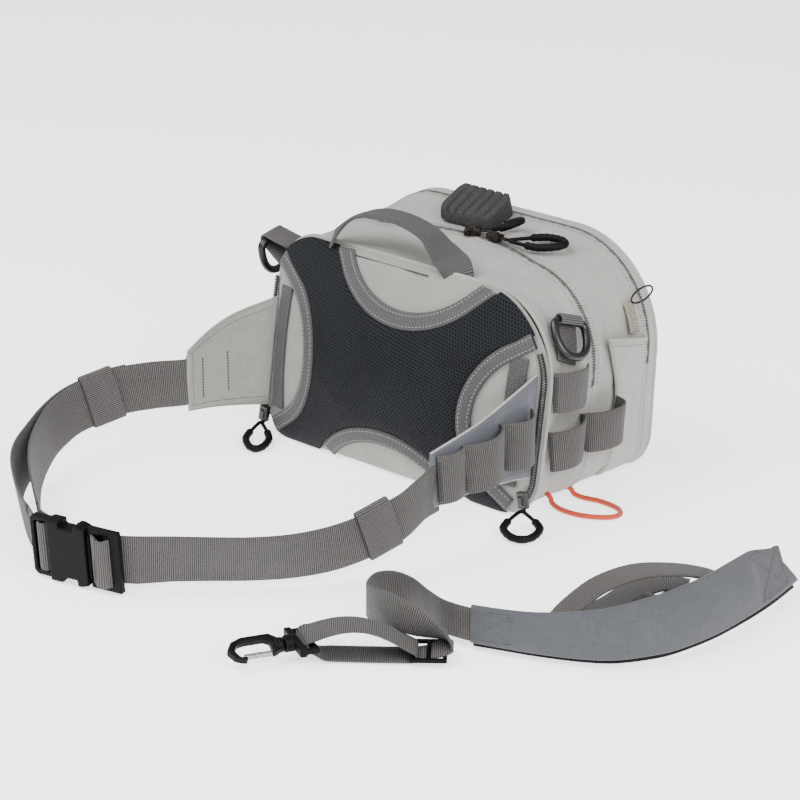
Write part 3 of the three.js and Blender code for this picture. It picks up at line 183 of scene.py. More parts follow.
def spacerMesh(name, colour, dark, pitch=2.9):  # knitted mesh with rows of small holes
    made = Finish(name, Sheen_Weight=0.02, Specular_IOR_Level=0.12)
    place = made.place()
    u, v, _ = made.parts(place)
    k = 2 * math.pi / pitch
    waves = [(u * (k * turned(a)[0]) + v * (k * turned(a)[1])) for a in (20, 80, 140)]
    holes = (waves[0].sine() + waves[1].sine() + waves[2].sine()).step(0.2, 1.9)
    fuzz = made.cloud(place, 0.9, (1, 1, 1), 3)
    patch = made.cloud(made.spot(), 40, (1, 1, 1), 3)
    # the holes are painted near black: painted shade inside them
    share = ((1 - holes) * 0.6 + fuzz * 0.5 + patch * 0.35 - 0.35).step(0.1, 1.0)
    made.feed("Base Color", made.mix(share, dark, colour))
    made.feed("Roughness", 0.7 + holes * 0.25)
    made.emboss((1 - holes) + fuzz * 0.3, 1.1, 0.9)
    return made.material


def moulded(name, colour, edge, rough=0.48, grain=0.9, shine=0.1):  # cast plastic or rubber
    made = Finish(name, Specular_IOR_Level=shine)
    spot = made.spot()
    fine = made.cloud(spot, grain, (1, 1, 1), 2)
    worn = made.cloud(spot, 9, (1, 1, 1), 4, 0.65)
    made.feed("Base Color", made.mix(worn.step(0.5, 0.8) * 0.6 + fine * 0.2, colour, edge))
    made.feed("Roughness", rough - 0.08 + fine * 0.12 + worn * 0.12)
    made.emboss(fine, 0.1, 0.35)
    return made.material


def metal(name, colour, dark, rough=0.32):
    made = Finish(name, Specular_IOR_Level=0.5)
    made.skin.inputs["Metallic"].default_value = 0.9
    spot = made.spot()
    worn = made.cloud(spot, 2.6, (1, 1, 1), 4, 0.7)
    made.feed("Base Color", made.mix(worn.step(0.35, 0.65), dark, colour))
    made.feed("Roughness", rough + worn * 0.2)
    made.emboss(worn, 0.12, 0.4)
    return made.material


def foam(name, colour, dark):
    made = Finish(name, Specular_IOR_Level=0.2)
    spot = made.spot()
    pores = made.node("ShaderNodeTexVoronoi", None, {"Vector": spot, "Scale": 0.9}).step(0.1, 0.6)
    worn = made.cloud(spot, 14, (1, 1, 1), 4)
    made.feed("Base Color", made.mix(pores * 0.55 + worn * 0.45, dark, colour))
    made.feed("Roughness", 0.97 - pores * 0.1)
    made.emboss(pores, 0.5, 0.7)
    return made.material


def braid(name, colour, dark, pitch=2.4):  # two sets of strands crossing round a cord
    made = Finish(name, Sheen_Weight=0.2, Specular_IOR_Level=0.3)
    place = made.place()
    u, v, _ = made.parts(place)
    k = 2 * math.pi / pitch
    strands = ((u * k + v * k).sine() * (u * k - v * k).sine()) * 0.5 + 0.5
    fuzz = made.cloud(place, 0.8, (1, 1, 1), 2)
    made.feed("Base Color", made.mix((strands * 0.7 + fuzz * 0.5 - 0.1).step(0.0, 1.0), dark, colour))
    made.feed("Roughness", 0.75 - strands * 0.15)
    made.emboss(strands + fuzz * 0.3, 0.35, 0.8)
    return made.material


def thread(name, colour, dark):
    made = Finish(name, Sheen_Weight=0.1, Specular_IOR_Level=0.3)
    twist = made.cloud(made.spot(), 1.2, (1, 1, 1), 2)
    made.feed("Base Color", made.mix(twist, dark, colour))
    made.feed("Roughness", 0.6 + twist * 0.25)
    return made.material


finishes = {
    "shell": oxford("light_oxford", tone(206, 204, 199), tone(168, 166, 161)),
    "panel": oxford("panel_oxford", tone(188, 188, 182), tone(150, 150, 144)),
    "wing": oxford("blue_grey_oxford", tone(130, 132, 140), tone(92, 94, 103), 1.5),
    "slate": oxford("slate_oxford", tone(100, 102, 107), tone(72, 74, 79), 1.3),
    "web": webbing("grey_webbing", tone(113, 110, 108), tone(37, 36, 36)),
    "handleWeb": webbing("handle_webbing", tone(102, 100, 99), tone(36, 35, 35), 1.3, 1.2),
    "tape": webbing("ribbed_tape", tone(110, 109, 110), tone(40, 39, 41), 1.4, 2.6),
    "mesh": spacerMesh("spacer_mesh", tone(38, 41, 47), tone(1, 1, 2), 2.5),
    "backing": spacerMesh("pad_backing_mesh", tone(23, 24, 27), tone(4, 4, 5), 1.8),
    "plastic": moulded("black_nylon", tone(5, 5, 6), tone(14, 14, 15)),
    "gloss": moulded("glossy_ring", tone(8, 8, 10), tone(18, 18, 20), 0.28, 0.9, 0.5),
    "grip": moulded("soft_grip", tone(11, 11, 13), tone(24, 24, 26), 0.5, 0.6),
    "bronze": metal("aged_bronze", tone(86, 80, 74), tone(30, 27, 25)),
    "steel": metal("spring_steel", tone(214, 213, 209), tone(150, 149, 146), 0.25),
    "foam": foam("ripple_foam", tone(74, 73, 74), tone(40, 40, 42)),
    "orange": braid("orange_cord", tone(244, 96, 58), tone(206, 56, 28)),
    "blackZip": webbing("black_zip_tape", tone(48, 49, 53), tone(22, 23, 26), 1.2, 1.6),
    "greyZip": webbing("grey_zip_tape", tone(92, 90, 90), tone(52, 51, 52), 1.2, 1.6),
    "beigeZip": webbing("beige_zip_tape", tone(188, 178, 164), tone(130, 120, 108), 1.3, 1.7),
    # the black coil is coloured mid-grey with lighter patches: painted sheen on the teeth
    "zipTeeth": moulded("sheen_painted_black_coil", tone(104, 103, 103), tone(170, 168, 166), 0.4),
    "greyCoil": moulded("grey_coil", tone(84, 83, 83), tone(118, 117, 116), 0.45),
    "beigeCoil": moulded("beige_coil", tone(170, 160, 146), tone(206, 198, 186), 0.45),
    "lightThread": thread("light_thread", tone(186, 184, 180), tone(140, 138, 134)),
    "greyThread": thread("grey_thread", tone(120, 118, 117), tone(78, 77, 76)),
    "darkThread": thread("dark_thread", tone(64, 63, 64), tone(36, 36, 38)),
}
print("finishes made:", len(finishes))


# mesh helpers, millimetres in and metres out
def fill(rows, steps):  # more rows on a smooth curve through every column
    out, last = [], len(rows) - 1
    for i in range(last):
        near = [rows[max(i - 1, 0)], rows[i], rows[i + 1], rows[min(i + 2, last)]]
        for s in range(steps):
            t = s / steps
            out.append(tuple(
                0.5 * (2 * b + (c - a) * t + (2 * a - 5 * b + 4 * c - d) * t * t
                       + (3 * b - a - 3 * c + d) * t ** 3)
                for a, b, c, d in zip(*near)
            ))
    out.append(tuple(rows[last]))
    return out


def distances(path):  # how far along a line each of its points is
    run = [0]
    for a, b in zip(path, path[1:]):
        run.append(run[-1] + (b - a).length)
    return run


def findOn(run, far):  # the stretch of a line that holds a distance, and the share of it that is passed
    k = 0
    while k < len(run) - 2 and run[k + 1] < far:
        k += 1
    return k, (far - run[k]) / max(1e-9, run[k + 1] - run[k])


def evenly(path, count, loop=False):  # the same line with evenly spaced points
    line = path + [path[0]] if loop else path
    run, out = distances(line), []
    for i in range(count):
        k, share = findOn(run, run[-1] * i / (count if loop else count - 1))
        out.append(line[k].lerp(line[k + 1], min(1, share)))
    return out


def relaxed(path, times):  # a closed line with its corners eased
    count = len(path)
    for _ in range(times):
        path = [(path[k - 1] + path[k] * 2 + path[(k + 1) % count]) / 4 for k in range(count)]
    return path


def arc(start, step, count):  # places on a unit circle
    return [turned(start + step * k) for k in range(count)]


def bent(value, power):  # squares a circle off, or draws it in
    return math.copysign(abs(value) ** power, value)


def newPiece(name, points, faces, corners=None, flat=0):
    mesh = bpy.data.meshes.new(name)
    mesh.from_pydata([tuple(c * mm for c in p) for p in points], [], faces)
    if corners:
        layer = mesh.uv_layers.new(name="weave")
        layer.uv.foreach_set("vector", [c for corner in corners for c in corner])
    mesh.polygons.foreach_set("use_smooth", [k < len(faces) - flat for k in range(len(faces))])
    piece = bpy.data.objects.new(name, mesh)
    scene.collection.objects.link(piece)
    return piece


def facing(piece, outward=None):  # turns the faces out, or towards a direction
    work = bmesh.new()
    work.from_mesh(piece.data)
    bmesh.ops.recalc_face_normals(work, faces=work.faces)
    if outward is not None:
        total = sum((f.normal * f.calc_area() for f in work.faces), Vector())
        if total.dot(Vector(outward)) < 0:
            bmesh.ops.reverse_faces(work, faces=work.faces)
    work.to_mesh(piece.data)
    work.free()
    return piece


def gridPiece(name, rows, place, loopRows=False, loopCols=False, caps=False, outward=None):
    tall, wide = len(rows), len(rows[0])
    faces, corners = [], []
    for i in range(tall if loopRows else tall - 1):
        for j in range(wide if loopCols else wide - 1):
            k, m = (i + 1) % tall, (j + 1) % wide
            faces.append((i * wide + j, i * wide + m, k * wide + m, k * wide + j))
            corners += [place(i, j), place(i, j + 1), place(i + 1, j + 1), place(i + 1, j)]
    if caps:
        for i in (0, tall - 1):
            faces.append(tuple(i * wide + j for j in range(wide)))
            corners += [place(i, j) for j in range(wide)]
    points = [p for row in rows for p in row]
    return facing(newPiece(name, points, faces, corners, 2 if caps else 0), outward)


def runs(path, across, loop=False):  # at each point: across the strip, off its face, and the distance run
    count, out, far = len(path), [], 0
    for i, p in enumerate(path):
        before = path[(i - 1) % count if loop else max(i - 1, 0)]
        after = path[(i + 1) % count if loop else min(i + 1, count - 1)]
        along = (after - before).normalized()
        wide = (across[i] - along * across[i].dot(along)).normalized()
        far += (p - path[i - 1]).length if i else 0
        out.append((p, wide, along.cross(wide), far))
    return out


def sweep(name, path, across, shape, loop=False, flatPlace=False):  # shape holds (across, off face) offsets
    line = runs(path, across, loop)
    shapes = [shape(i) if callable(shape) else shape for i in range(len(line))]
    rows = [[p + wide * a + face * b for a, b in shapes[i]] for i, (p, wide, face, _) in enumerate(line)]
    first = shapes[len(shapes) // 2]
    around = [0]
    for (a, b), (c, d) in zip(first, first[1:] + first[:1]):
        around.append(around[-1] + math.hypot(c - a, d - b))
    total = line[-1][3] + ((path[0] - path[-1]).length if loop else 0)
    far = [r[3] for r in line] + [total]

    def place(i, j):
        return far[i], (first[j % len(first)][0] if flatPlace else around[j])

    return gridPiece(name, rows, place, loop, True, not loop), line


def strapShape(width, thick, columns=6):
    half, rim = width / 2, thick / 2
    over = [(lerp(-half + rim, half - rim, k / columns), rim) for k in range(columns + 1)]
    edge = [(half - rim * 0.3, rim * 0.7), (half, 0), (half - rim * 0.3, -rim * 0.7)]
    return over + edge + [(-a, -b) for a, b in over] + [(-a, -b) for a, b in edge]


def roundShape(radius, count):
    return [(radius * c, radius * s) for c, s in (turned(360 * k / count) for k in range(count))]


def dress(piece, finish, node=None, body="pack"):
    piece.data.materials.clear()
    piece.data.materials.append(finishes[finish])
    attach(piece, body)
    if node:
        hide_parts(*([node] if isinstance(node, str) else node))
    return piece


def thicken(piece, thick):
    cloth = piece.modifiers.new("cloth", "SOLIDIFY")
    cloth.thickness, cloth.offset = thick * mm, -1


web = {"thick": 1.8, "face": 0.95, "barInset": 1.6, "barHalf": 0.7}  # face is where its stitches lie
# the entry for the line under the handle overlaps its stitches into one dark line of painted shade
stitchSizes = {  # length, space and radius
    "seam": (2.4, 1.2, 0.3), "tape": (2.4, 0.9, 0.36), "seamShadeLine": (5, -1.6, 0.5), "hem": (2.4, 1.1, 0.32),
    "wing": (2.2, 0.7, 0.26), "through": (2, 0.4, 0.3), "pad": (2.6, 1.2, 0.34), "box": (2.2, 0.9, 0.3),
    "bar": (1.9, 0.5, 0.34),
}

# stitches are gathered by thread and made last
threads = {"lightThread": ([], []), "greyThread": ([], []), "darkThread": ([], [])}


def stitch(colour, a, b, normal, radius=0.34):
    points, faces = threads[colour]
    along = (b - a).normalized()
    side = along.cross(normal).normalized()
    start = len(points)
    points.append(a - normal * radius * 0.6)
    for share in (0.2, 0.8):
        centre = a.lerp(b, share)
        for k in range(5):
            c, s = turned(72 * k + 18)
            points.append(centre + side * radius * c + normal * radius * s)
    points.append(b - normal * radius * 0.6)
    for k in range(5):
        m = (k + 1) % 5
        faces.append((start, start + 1 + m, start + 1 + k))
        faces.append((start + 1 + k, start + 1 + m, start + 6 + m, start + 6 + k))
        faces.append((start + 11, start + 6 + k, start + 6 + m))


def stitchLine(colour, line, length=2.7, space=1.1, radius=0.34):  # line holds (point, normal)
    run = distances([p for p, _ in line])

    def at(far):
        k, share = findOn(run, far)
        return line[k][0].lerp(line[k + 1][0], share), line[k][1]

    far = space / 2
    while far + length < run[-1]:
        a, normal = at(far)
        b, _ = at(far + length)
        stitch(colour, a, b, normal, radius)
        far += length + space


def onStrap(line, far, across, off):  # a point on a strap's face
    k, share = findOn([row[3] for row in line], far)
    share = max(0, min(1, share))
    p, wide, face = (line[k][n].lerp(line[k + 1][n], share) for n in range(3))
    return p + wide * across + face * off, face if off > 0 else -face


def strapStitch(colour, line, a, b, off, sizes=(), count=12):  # from one (far, across) to another
    shares = [k / count for k in range(count + 1)]
    points = [onStrap(line, lerp(a[0], b[0], share), lerp(a[1], b[1], share), off) for share in shares]
    stitchLine(colour, points, *sizes)


def webPiece(node, path, across, width, thick=web["thick"], loop=False, finish="web", columns=6):
    piece, line = sweep(node + "_web", path, across, strapShape(width, thick, columns), loop, True)
    dress(piece, finish, node)
    return line


def barTacks(line, count, steps, half, side):  # a double bar of stitches at each place a row of loops is sewn
    off = web["face"] if line[0][2].x * side > 0 else -web["face"]
    for k in range(count):
        inset = web["barInset"] * ((k == 0) - (k == count - 1))
        far = line[min(k * steps, len(line) - 1)][3] + inset
        for shift in (-web["barHalf"], web["barHalf"]):
            ends = (far + shift, -half), (far + shift, half)
            strapStitch("darkThread", line, *ends, off, stitchSizes["bar"])


# camera
view = {"azimuth": 42.754, "elevation": 20.474, "target": (7.27, -68, 61.76), "distance": 2313.6, "lens": 135}


def makeCamera():
    (sideways, ahead), (level, rise) = turned(view["azimuth"])[::-1], turned(view["elevation"])
    back = Vector((sideways * level, -ahead * level, rise))
    lens = bpy.data.cameras.new("camera")
    lens.lens, lens.sensor_width = view["lens"], 36
    lens.clip_start, lens.clip_end = 0.05, 50
    camera = bpy.data.objects.new("camera", lens)
    camera.location = (Vector(view["target"]) + back * view["distance"]) * mm
    camera.rotation_mode = "QUATERNION"
    camera.rotation_quaternion = (-back).to_track_quat("-Z", "Y")
    scene.collection.objects.link(camera)
    scene.camera = camera


makeCamera()

# the bright cord loop at the foot
cordLoop = {
    "radius": 2,
    "rows": [
        (127, -36, 10), (134.6, -38, 7), (138, -39.5, 3.6), (150, -42, 2.2), (168, -40, 2.2),
        (184, -30, 2.2), (187, -19, 2.2), (178, -11, 2.2), (160, -9, 2.2), (146, -12, 2.2),
        (138, -13.5, 3.6), (134.6, -14, 7), (127, -15, 10),
    ],
}


def makeCordLoop():
    path = [Vector(r) for r in fill(cordLoop["rows"], 8)]
    path = evenly(path, 90)
    shape = roundShape(cordLoop["radius"], 14)
    piece, line = sweep("orange_cord_loop", path, [Vector((0.3, 1, 0.2))] * len(path), shape)
    dress(piece, "orange", "bottom_loop")
    points = [tuple(p * mm) for p in path]
    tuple(points[0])
    line[-1][3] * mm
    print("cord loop", round(line[-1][3]), "mm")


makeCordLoop()

# the shell
shell = {
    "halfRight": 145, "halfLeft": 141, "depth": 136, "backHeight": 165, "frontHeight": 182,
    "backTop": 66, "frontTop": 84, "backTopLeft": 40, "frontTopLeft": 66, "bottom": 32,
    "backLean": 0.157, "frontLean": 0.062, "bulge": 24, "wall": 1.6, "slack": 4.8,
    "cuts": (8, 10, 16, 24, 36, 24, 16, 10, 8),
}
zipLine = {
    "back": 0.4, "bow": 0.12, "bowHalf": 85, "front": 0.92, "width": 5.4, "slit": 1.5, "lowest": 90,
    "tape": 0.6, "teeth": 3.6, "stitchRows": (2.2, 5.4),
}
seamRolls = {"rear_seam_roll": (0.004, -0.4, 1.7), "front_seam_roll": (0.995, -0.6, 1.5)}  # depth, lift, radius
frontFace = {"centre": (4, 88), "rings": 24, "rim": 3, "crown": 7, "dip": 2.4}
stations = [(part, k / count) for part, count in enumerate(shell["cuts"]) for k in range(count)]
archPoints = range(len(stations))


def section(t):  # height, top radius at the right and at the left, and lean
    height = lerp(shell["backHeight"], shell["frontHeight"], ease(t))
    rest = (lerp(shell["back" + part], shell["front" + part], t) for part in ("Top", "TopLeft", "Lean"))
    return height, *rest


def edgePoint(i, t):  # a station of the arch at a share of the depth: x, z and the normal
    part, share = stations[i % len(stations)]
    height, top, topLeft, _ = section(t)
    w, left, b = shell["halfRight"], shell["halfLeft"], shell["bottom"]
    lines = {
        0: (0, 0, w - b, 0, 0, -1), 2: (w, b, w, height - top, 1, 0),
        4: (w - top, height, topLeft - left, height, 0, 1),
        6: (-left, height - topLeft, -left, b, -1, 0), 8: (b - left, 0, 0, 0, 0, -1),
    }
    arcs = {
        1: (w - b, b, b, -90), 3: (w - top, height - top, top, 0),
        5: (topLeft - left, height - topLeft, topLeft, 90), 7: (b - left, b, b, 180),
    }
    if part in lines:
        x0, z0, x1, z1, nx, nz = lines[part]
        return lerp(x0, x1, share), lerp(z0, z1, share), nx, nz
    x, z, r, start = arcs[part]
    nx, nz = turned(start + 90 * share)
    return x + r * nx, z + r * nz, nx, nz


def depthAt(t, z):
    return -shell["depth"] / 2 + shell["depth"] * t + section(t)[3] * z


def skin(i, t, lift):
    x, z, nx, nz = edgePoint(i, t)
    high = z + nz * lift
    return Vector((x + nx * lift, depthAt(t, high), high))


backEdge = [edgePoint(i, 0) for i in archPoints]
aroundRun = distances([skin(i, zipLine["back"], 0) for i in range(len(stations) + 1)])


def zipAt(i):
    x, z, _, _ = backEdge[i % len(backEdge)]
    bow = max(0, 1 - (x / zipLine["bowHalf"]) ** 2) if z > 120 else 0
    return zipLine["back"] + zipLine["bow"] * bow


def slitAt(i):
    wide = zipLine["slit"] / 2 if backEdge[i % len(backEdge)][1] >= zipLine["lowest"] else 0.15
    return wide / shell["depth"]


def slack(p, seed):  # how far loose cloth sinks: soft dents and a few sharper folds, 0 to 1
    dents = 0.5 + noise.noise(p / 46 + Vector((seed, 3, 7)))
    folds = 1 - abs(noise.noise(Vector((p.x / 70, p.y / 26, p.z / 62)) + Vector((9, seed, 1)))) * 3.2
    fine = noise.noise(p / 13 + Vector((2, 5, seed)))
    return max(0, min(1, 0.5 * dents + 0.45 * max(0, folds) + 0.2 * fine))


def gusset(name, node, start, stop, steps, seed):
    rows = []
    for k in range(steps + 1):
        share = k / steps
        fade = min(1, 3.2 * share, 3.2 * (1 - share))
        row = []
        for i in archPoints:
            t = lerp(start(i), stop(i), share)
            base = skin(i, t, 0)
            low = 0.15 if base.z < 3 else 1
            pucker = 0.25 * math.sin(aroundRun[i] / 1.9) * max(0, 1 - 9 * min(share, 1 - share))
            row.append(skin(i, t, -shell["slack"] * low * fade * slack(base, seed) - 0.25 + pucker * low))
        rows.append(row)
    piece = gridPiece(name, rows, lambda i, j: (aroundRun[j], i * 120 / steps), False, True)
    thicken(piece, shell["wall"])
    return dress(piece, "shell", node)


def makeShell():
    gusset("rear_gusset_cloth", "rear_gusset", lambda i: 0, lambda i: zipAt(i) - slitAt(i), 18, 1.3)
    gusset("main_gusset_cloth", "main_gusset",
           lambda i: zipAt(i) + slitAt(i), lambda i: zipLine["front"] - slitAt(i), 26, 5.1)
    # the front pocket, a shallow cup with a crowned face
    rows = []
    for k in range(7):
        rows.append([skin(i, lerp(zipLine["front"] + slitAt(i), 1, k / 6), -0.2) for i in archPoints])
    cx, cz = frontFace["centre"]
    for s in [k / frontFace["rings"] for k in range(1, frontFace["rings"])] + [0.996, 1]:
        push = frontFace["rim"] * min(1, s * 14) ** 0.5 + frontFace["crown"] * (1 - (1 - min(1, s * 1.6)) ** 2)
        row = []
        for i in archPoints:
            x, z, _, _ = edgePoint(i, 1)
            x, z = lerp(x, cx, s * 0.9996), lerp(z, cz, s * 0.9996)
            dip = frontFace["dip"] * min(1, 5 * s) * slack(Vector((x, 80, z)), 8.7)
            row.append(Vector((x, depthAt(1, z) + push - dip, max(z, 0.2))))
        rows.append(row)
    flat = [[(p.x, p.z + 2 * min(i, 6)) for p in row + row[:1]] for i, row in enumerate(rows)]
    piece = gridPiece("front_pocket_cloth", rows, lambda i, j: flat[i][j], False, True)
    thicken(piece, shell["wall"])
    dress(piece, "shell", "front_pocket")
    # a rolled seam where the panel meets the gusset, and one round the front face
    for name, (t, lift, radius) in seamRolls.items():
        path = [skin(i, t, lift) for i in archPoints]
        for p in path:
            p.z = max(p.z, radius + 0.1)
        piece, _ = sweep(name, path, [Vector((0, 1, 0.1))] * len(path), roundShape(radius, 8), True)
        dress(piece, "shell")
    # rows of stitches beside the zips
    for at, side in ((zipAt, -1), (zipAt, 1), (lambda i: zipLine["front"], -1)):
        for off in zipLine["stitchRows"]:
            line = []
            for i in archPoints:
                x, z, nx, nz = backEdge[i]
                if z >= zipLine["lowest"]:
                    t = at(i) + side * (slitAt(i) + off / shell["depth"])
                    line.append((skin(i, t, -0.2), Vector((nx, 0, nz))))
            stitchLine("lightThread", line, *stitchSizes["seam"])
    print("shell made")


makeShell()


# zips on the arch
def toothRow(name, line, wide, finish, tooth=1.7, high=1.1):  # line holds (point, across, normal)
    points, faces = [], []
    run = distances([p for p, _, _ in line])
    far, count = 0.4, 0
    while far < run[-1]:
        k, share = findOn(run, far)
        p, across, normal = (line[k][n].lerp(line[k + 1][n], share) for n in range(3))
        along = across.cross(normal).normalized()
        side = 1 if count % 2 else -1
        base = len(points)
        for reach, rise, half in ((-0.16, 0.6, 0.32), (0.3, 1, 0.4), (1, 0.75, 0.3), (1.06, 0.1, 0.26)):
            for a, h in ((-1, 0), (-1, 0.7), (-0.4, 1), (0.4, 1), (1, 0.7), (1, 0)):
                spot = p + across * (side * reach * wide / 2) + normal * (high * rise * h)
                points.append(spot + along * (a * half * tooth))
        for r in range(3):
            for c in range(5):
                q = base + r * 6 + c
                faces.append((q, q + 1, q + 7, q + 6))
        faces.append(tuple(base + c for c in range(6)))
        faces.append(tuple(base + 18 + c for c in range(6)))
        far += tooth * 0.62
        count += 1
    return dress(facing(newPiece(name, points, faces)), finish)


def makeArchZip(node, at):
    keep = [i for i in archPoints if backEdge[i][1] >= zipLine["lowest"]]
    half = (zipLine["width"] / 2 + 0.9) / shell["depth"]
    rows, line = [], []
    for i in keep:
        t = at(i)
        rows.append([skin(i, t + half * s, -0.9 - 0.5 * abs(s)) for s in (-1, -0.5, -0.12, 0.12, 0.5, 1)])
        across = (skin(i, t + half, 0) - skin(i, t - half, 0)).normalized()
        line.append((skin(i, t, -0.9), across, Vector((edgePoint(i, t)[2], 0, edgePoint(i, t)[3]))))
    far = [aroundRun[i] for i in keep]
    piece = gridPiece(node + "_tape", rows, lambda i, j: (far[i], j * 1.4), outward=(0, 0, 1))
    thicken(piece, zipLine["tape"])
    dress(piece, "greyZip", node)
    toothRow(node + "_teeth", line, zipLine["teeth"], "greyCoil")


makeArchZip("main_zip", zipAt)
makeArchZip("front_zip", lambda i: zipLine["front"])
print("zips made")

# the wearer's side
panel = {
    # the line under the handle gives where a dark line of painted shade runs: from x, to x, at height
    "centre": (0, 80), "lift": 3.3, "edge": 0.4, "sewn": 4.3, "mesh": 3, "fold": 7, "seamShadeLine": (-86, 21, 160.5),
    "rings": 30, "meshRings": 32, "meshTurns": 540,
    "tape": 2, "tapeWidth": 12, "tapeLow": 0.8, "bindingRows": (-2.2, -4.4, -10),
    "edgeTape": 121.5, "edgeTapeHalf": 7.2, "edgeTapeThick": 1.2,
    "edgeTapeEnds": {"right": (24, 122), "left": (25, 123)},
    "zipHeights": (12, 130), "zipTape": (-4.7, -0.5), "zipMiddle": 2.3, "zipTeeth": 2.8,
}
bites = {  # centre, radius, and the angles its tape runs between
    "top": (6, 220, 98, 212, 328), "left": (-147, 74, 72, -58, 58),
    "bottom": (4, -58, 97, 41, 139), "right": (147, 70, 70, 122, 238),
}


def panelPoint(x, z, lift):
    wide = max(0, 1 - abs(x / shell["halfRight"]) ** 2.5)
    high = max(0, math.sin(math.pi * z / shell["backHeight"])) ** 0.8
    return Vector((x, -shell["depth"] / 2 + shell["backLean"] * z - shell["bulge"] * wide * high - lift, z))


def panelFacing(x, z):
    wide = panelPoint(x + 1, z, 0) - panelPoint(x - 1, z, 0)
    return wide.cross(panelPoint(x, z + 1, 0) - panelPoint(x, z - 1, 0)).normalized()


def outline(turn):  # how far the panel goes from its centre
    (dx, dz), (cx, cz) = (math.cos(turn), math.sin(turn)), panel["centre"]
    best = 400
    for a, b in zip(backEdge, backEdge[1:] + backEdge[:1]):
        ex, ez, px, pz = b[0] - a[0], b[1] - a[1], a[0] - cx, a[1] - cz
        cross = dx * ez - dz * ex
        if abs(cross) > 1e-9:
            along, share = (px * ez - pz * ex) / cross, (px * dz - pz * dx) / cross
            if along > 0 and -1e-6 <= share <= 1 + 1e-6:
                best = min(best, along)
    return best


def reach(turn):  # how far the mesh goes from the panel's centre
    (dx, dz), (cx, cz) = (math.cos(turn), math.sin(turn)), panel["centre"]
    best = outline(turn) - panel["edge"]
    for x, z, radius, _, _ in bites.values():
        px, pz = x - cx, z - cz
        along = px * dx + pz * dz
        half = radius ** 2 - (px * px + pz * pz - along * along)
        if along > 0 and half > 0:
            best = min(best, along - math.sqrt(half))
    return best


def biteShare(x, z):  # 0 outside the bites, rising to 1 well inside one
    deep = max(radius - math.hypot(x - cx, z - cz) for cx, cz, radius, _, _ in bites.values())
    return max(0, min(1, (deep - 12) / 16))


def makePanel():
    cx, cz = panel["centre"]
    rows, rings = [], panel["rings"]
    for k in range(rings + 1):
        s = 0.02 + 0.98 * k / rings
        row = []
        for x, z, _, _ in backEdge:
            x, z = lerp(cx, x, s), lerp(cz, z, s)
            loose = biteShare(x, z) * min(1, (1 - s) * 12)
            beside = abs(abs(x) - panel["edgeTape"]) - panel["edgeTapeHalf"] - 2
            loose *= max(0, min(1, beside / 10))  # sewn flat at the edge tapes
            fold = noise.noise(Vector((x / 38, z / 17, 4))) + 0.4 * noise.noise(Vector((x / 15, z / 28, 8)))
            edge = 0.6 * max(0, s - 0.94) / 0.06
            row.append(panelPoint(x, z, panel["lift"] + loose * panel["fold"] * fold - edge * 4))
        rows.append(row)
    edge = [p[:2] for p in backEdge + backEdge[:1]]
    flat = [[(x * i / rings, z * i / rings) for x, z in edge] for i in range(rings + 1)]
    piece = gridPiece("back_panel_cloth", rows, lambda i, j: flat[i][j], False, True, outward=(0, -1, 0))
    dress(piece, "panel", "back_panel")
    # the knitted mesh in the middle
    turns = [2 * math.pi * k / panel["meshTurns"] for k in range(panel["meshTurns"])]
    far = [reach(a) for a in turns]
    rows, flat, rings = [], [], panel["meshRings"]
    for k in range(rings + 1):
        s = 0.0004 + 0.9996 * (1 - (1 - k / rings) ** 1.4)
        lift = panel["sewn"] + panel["mesh"] * (1 - s ** 14) - 0.2
        points = [(cx + r * s * math.cos(a), cz + r * s * math.sin(a)) for r, a in zip(far, turns)]
        dents = [0.7 * noise.noise(Vector((x / 30, z / 30, 2))) for x, z in points]
        rows.append([panelPoint(x, z, lift + dent) for (x, z), dent in zip(points, dents)])
        flat.append(points + points[:1])
    piece = gridPiece("mesh_pad_knit", rows, lambda i, j: flat[i][j], False, True, outward=(0, -1, 0))
    dress(piece, "mesh", "mesh_pad")
    print("panel made")


makePanel()


def tapeShape(low, high, lift, thick):
    top, rim = lift + thick, lift + thick * 0.7
    return [
        (low, lift), (low, rim), (low + 0.7, top), (lerp(low, high, 0.3), top + 0.1),
        ((low + high) / 2, top + 0.2), (lerp(low, high, 0.7), top + 0.1),
        (high - 0.7, top), (high, rim), (high, lift),
    ]


def onPanel(x, z, trim):  # a place on the panel, pulled back inside its edge for a trimmed tape
    (cx, cz), share = panel["centre"], 1
    if trim:
        share = min(1, (outline(math.atan2(z - cz, x - cx)) - 1) / max(1, math.hypot(x - cx, z - cz)))
    return lerp(cx, x, share), lerp(cz, z, share)


def panelTape(name, node, curve, low, high, lift, thick, finish, slot, rows=(), trim=False):
    def spot(x, z, nx, nz, off, rise):
        return panelPoint(*onPanel(x + nx * off, z + nz * off, trim), rise)

    shape = tapeShape(low, high, lift, thick)
    spots = [[spot(*place, off, rise) for off, rise in shape] for place in curve]
    far = distances([row[4] for row in spots])
    piece = gridPiece(name, spots, lambda i, j: (far[i], shape[j % len(shape)][0]), False, True, True)
    dress(piece, finish, node)
    for off, colour in rows:
        line = [(spot(*place, off, lift + thick + 0.12), panelFacing(*place[:2])) for place in curve]
        stitchLine(colour, line, *stitchSizes["tape"])


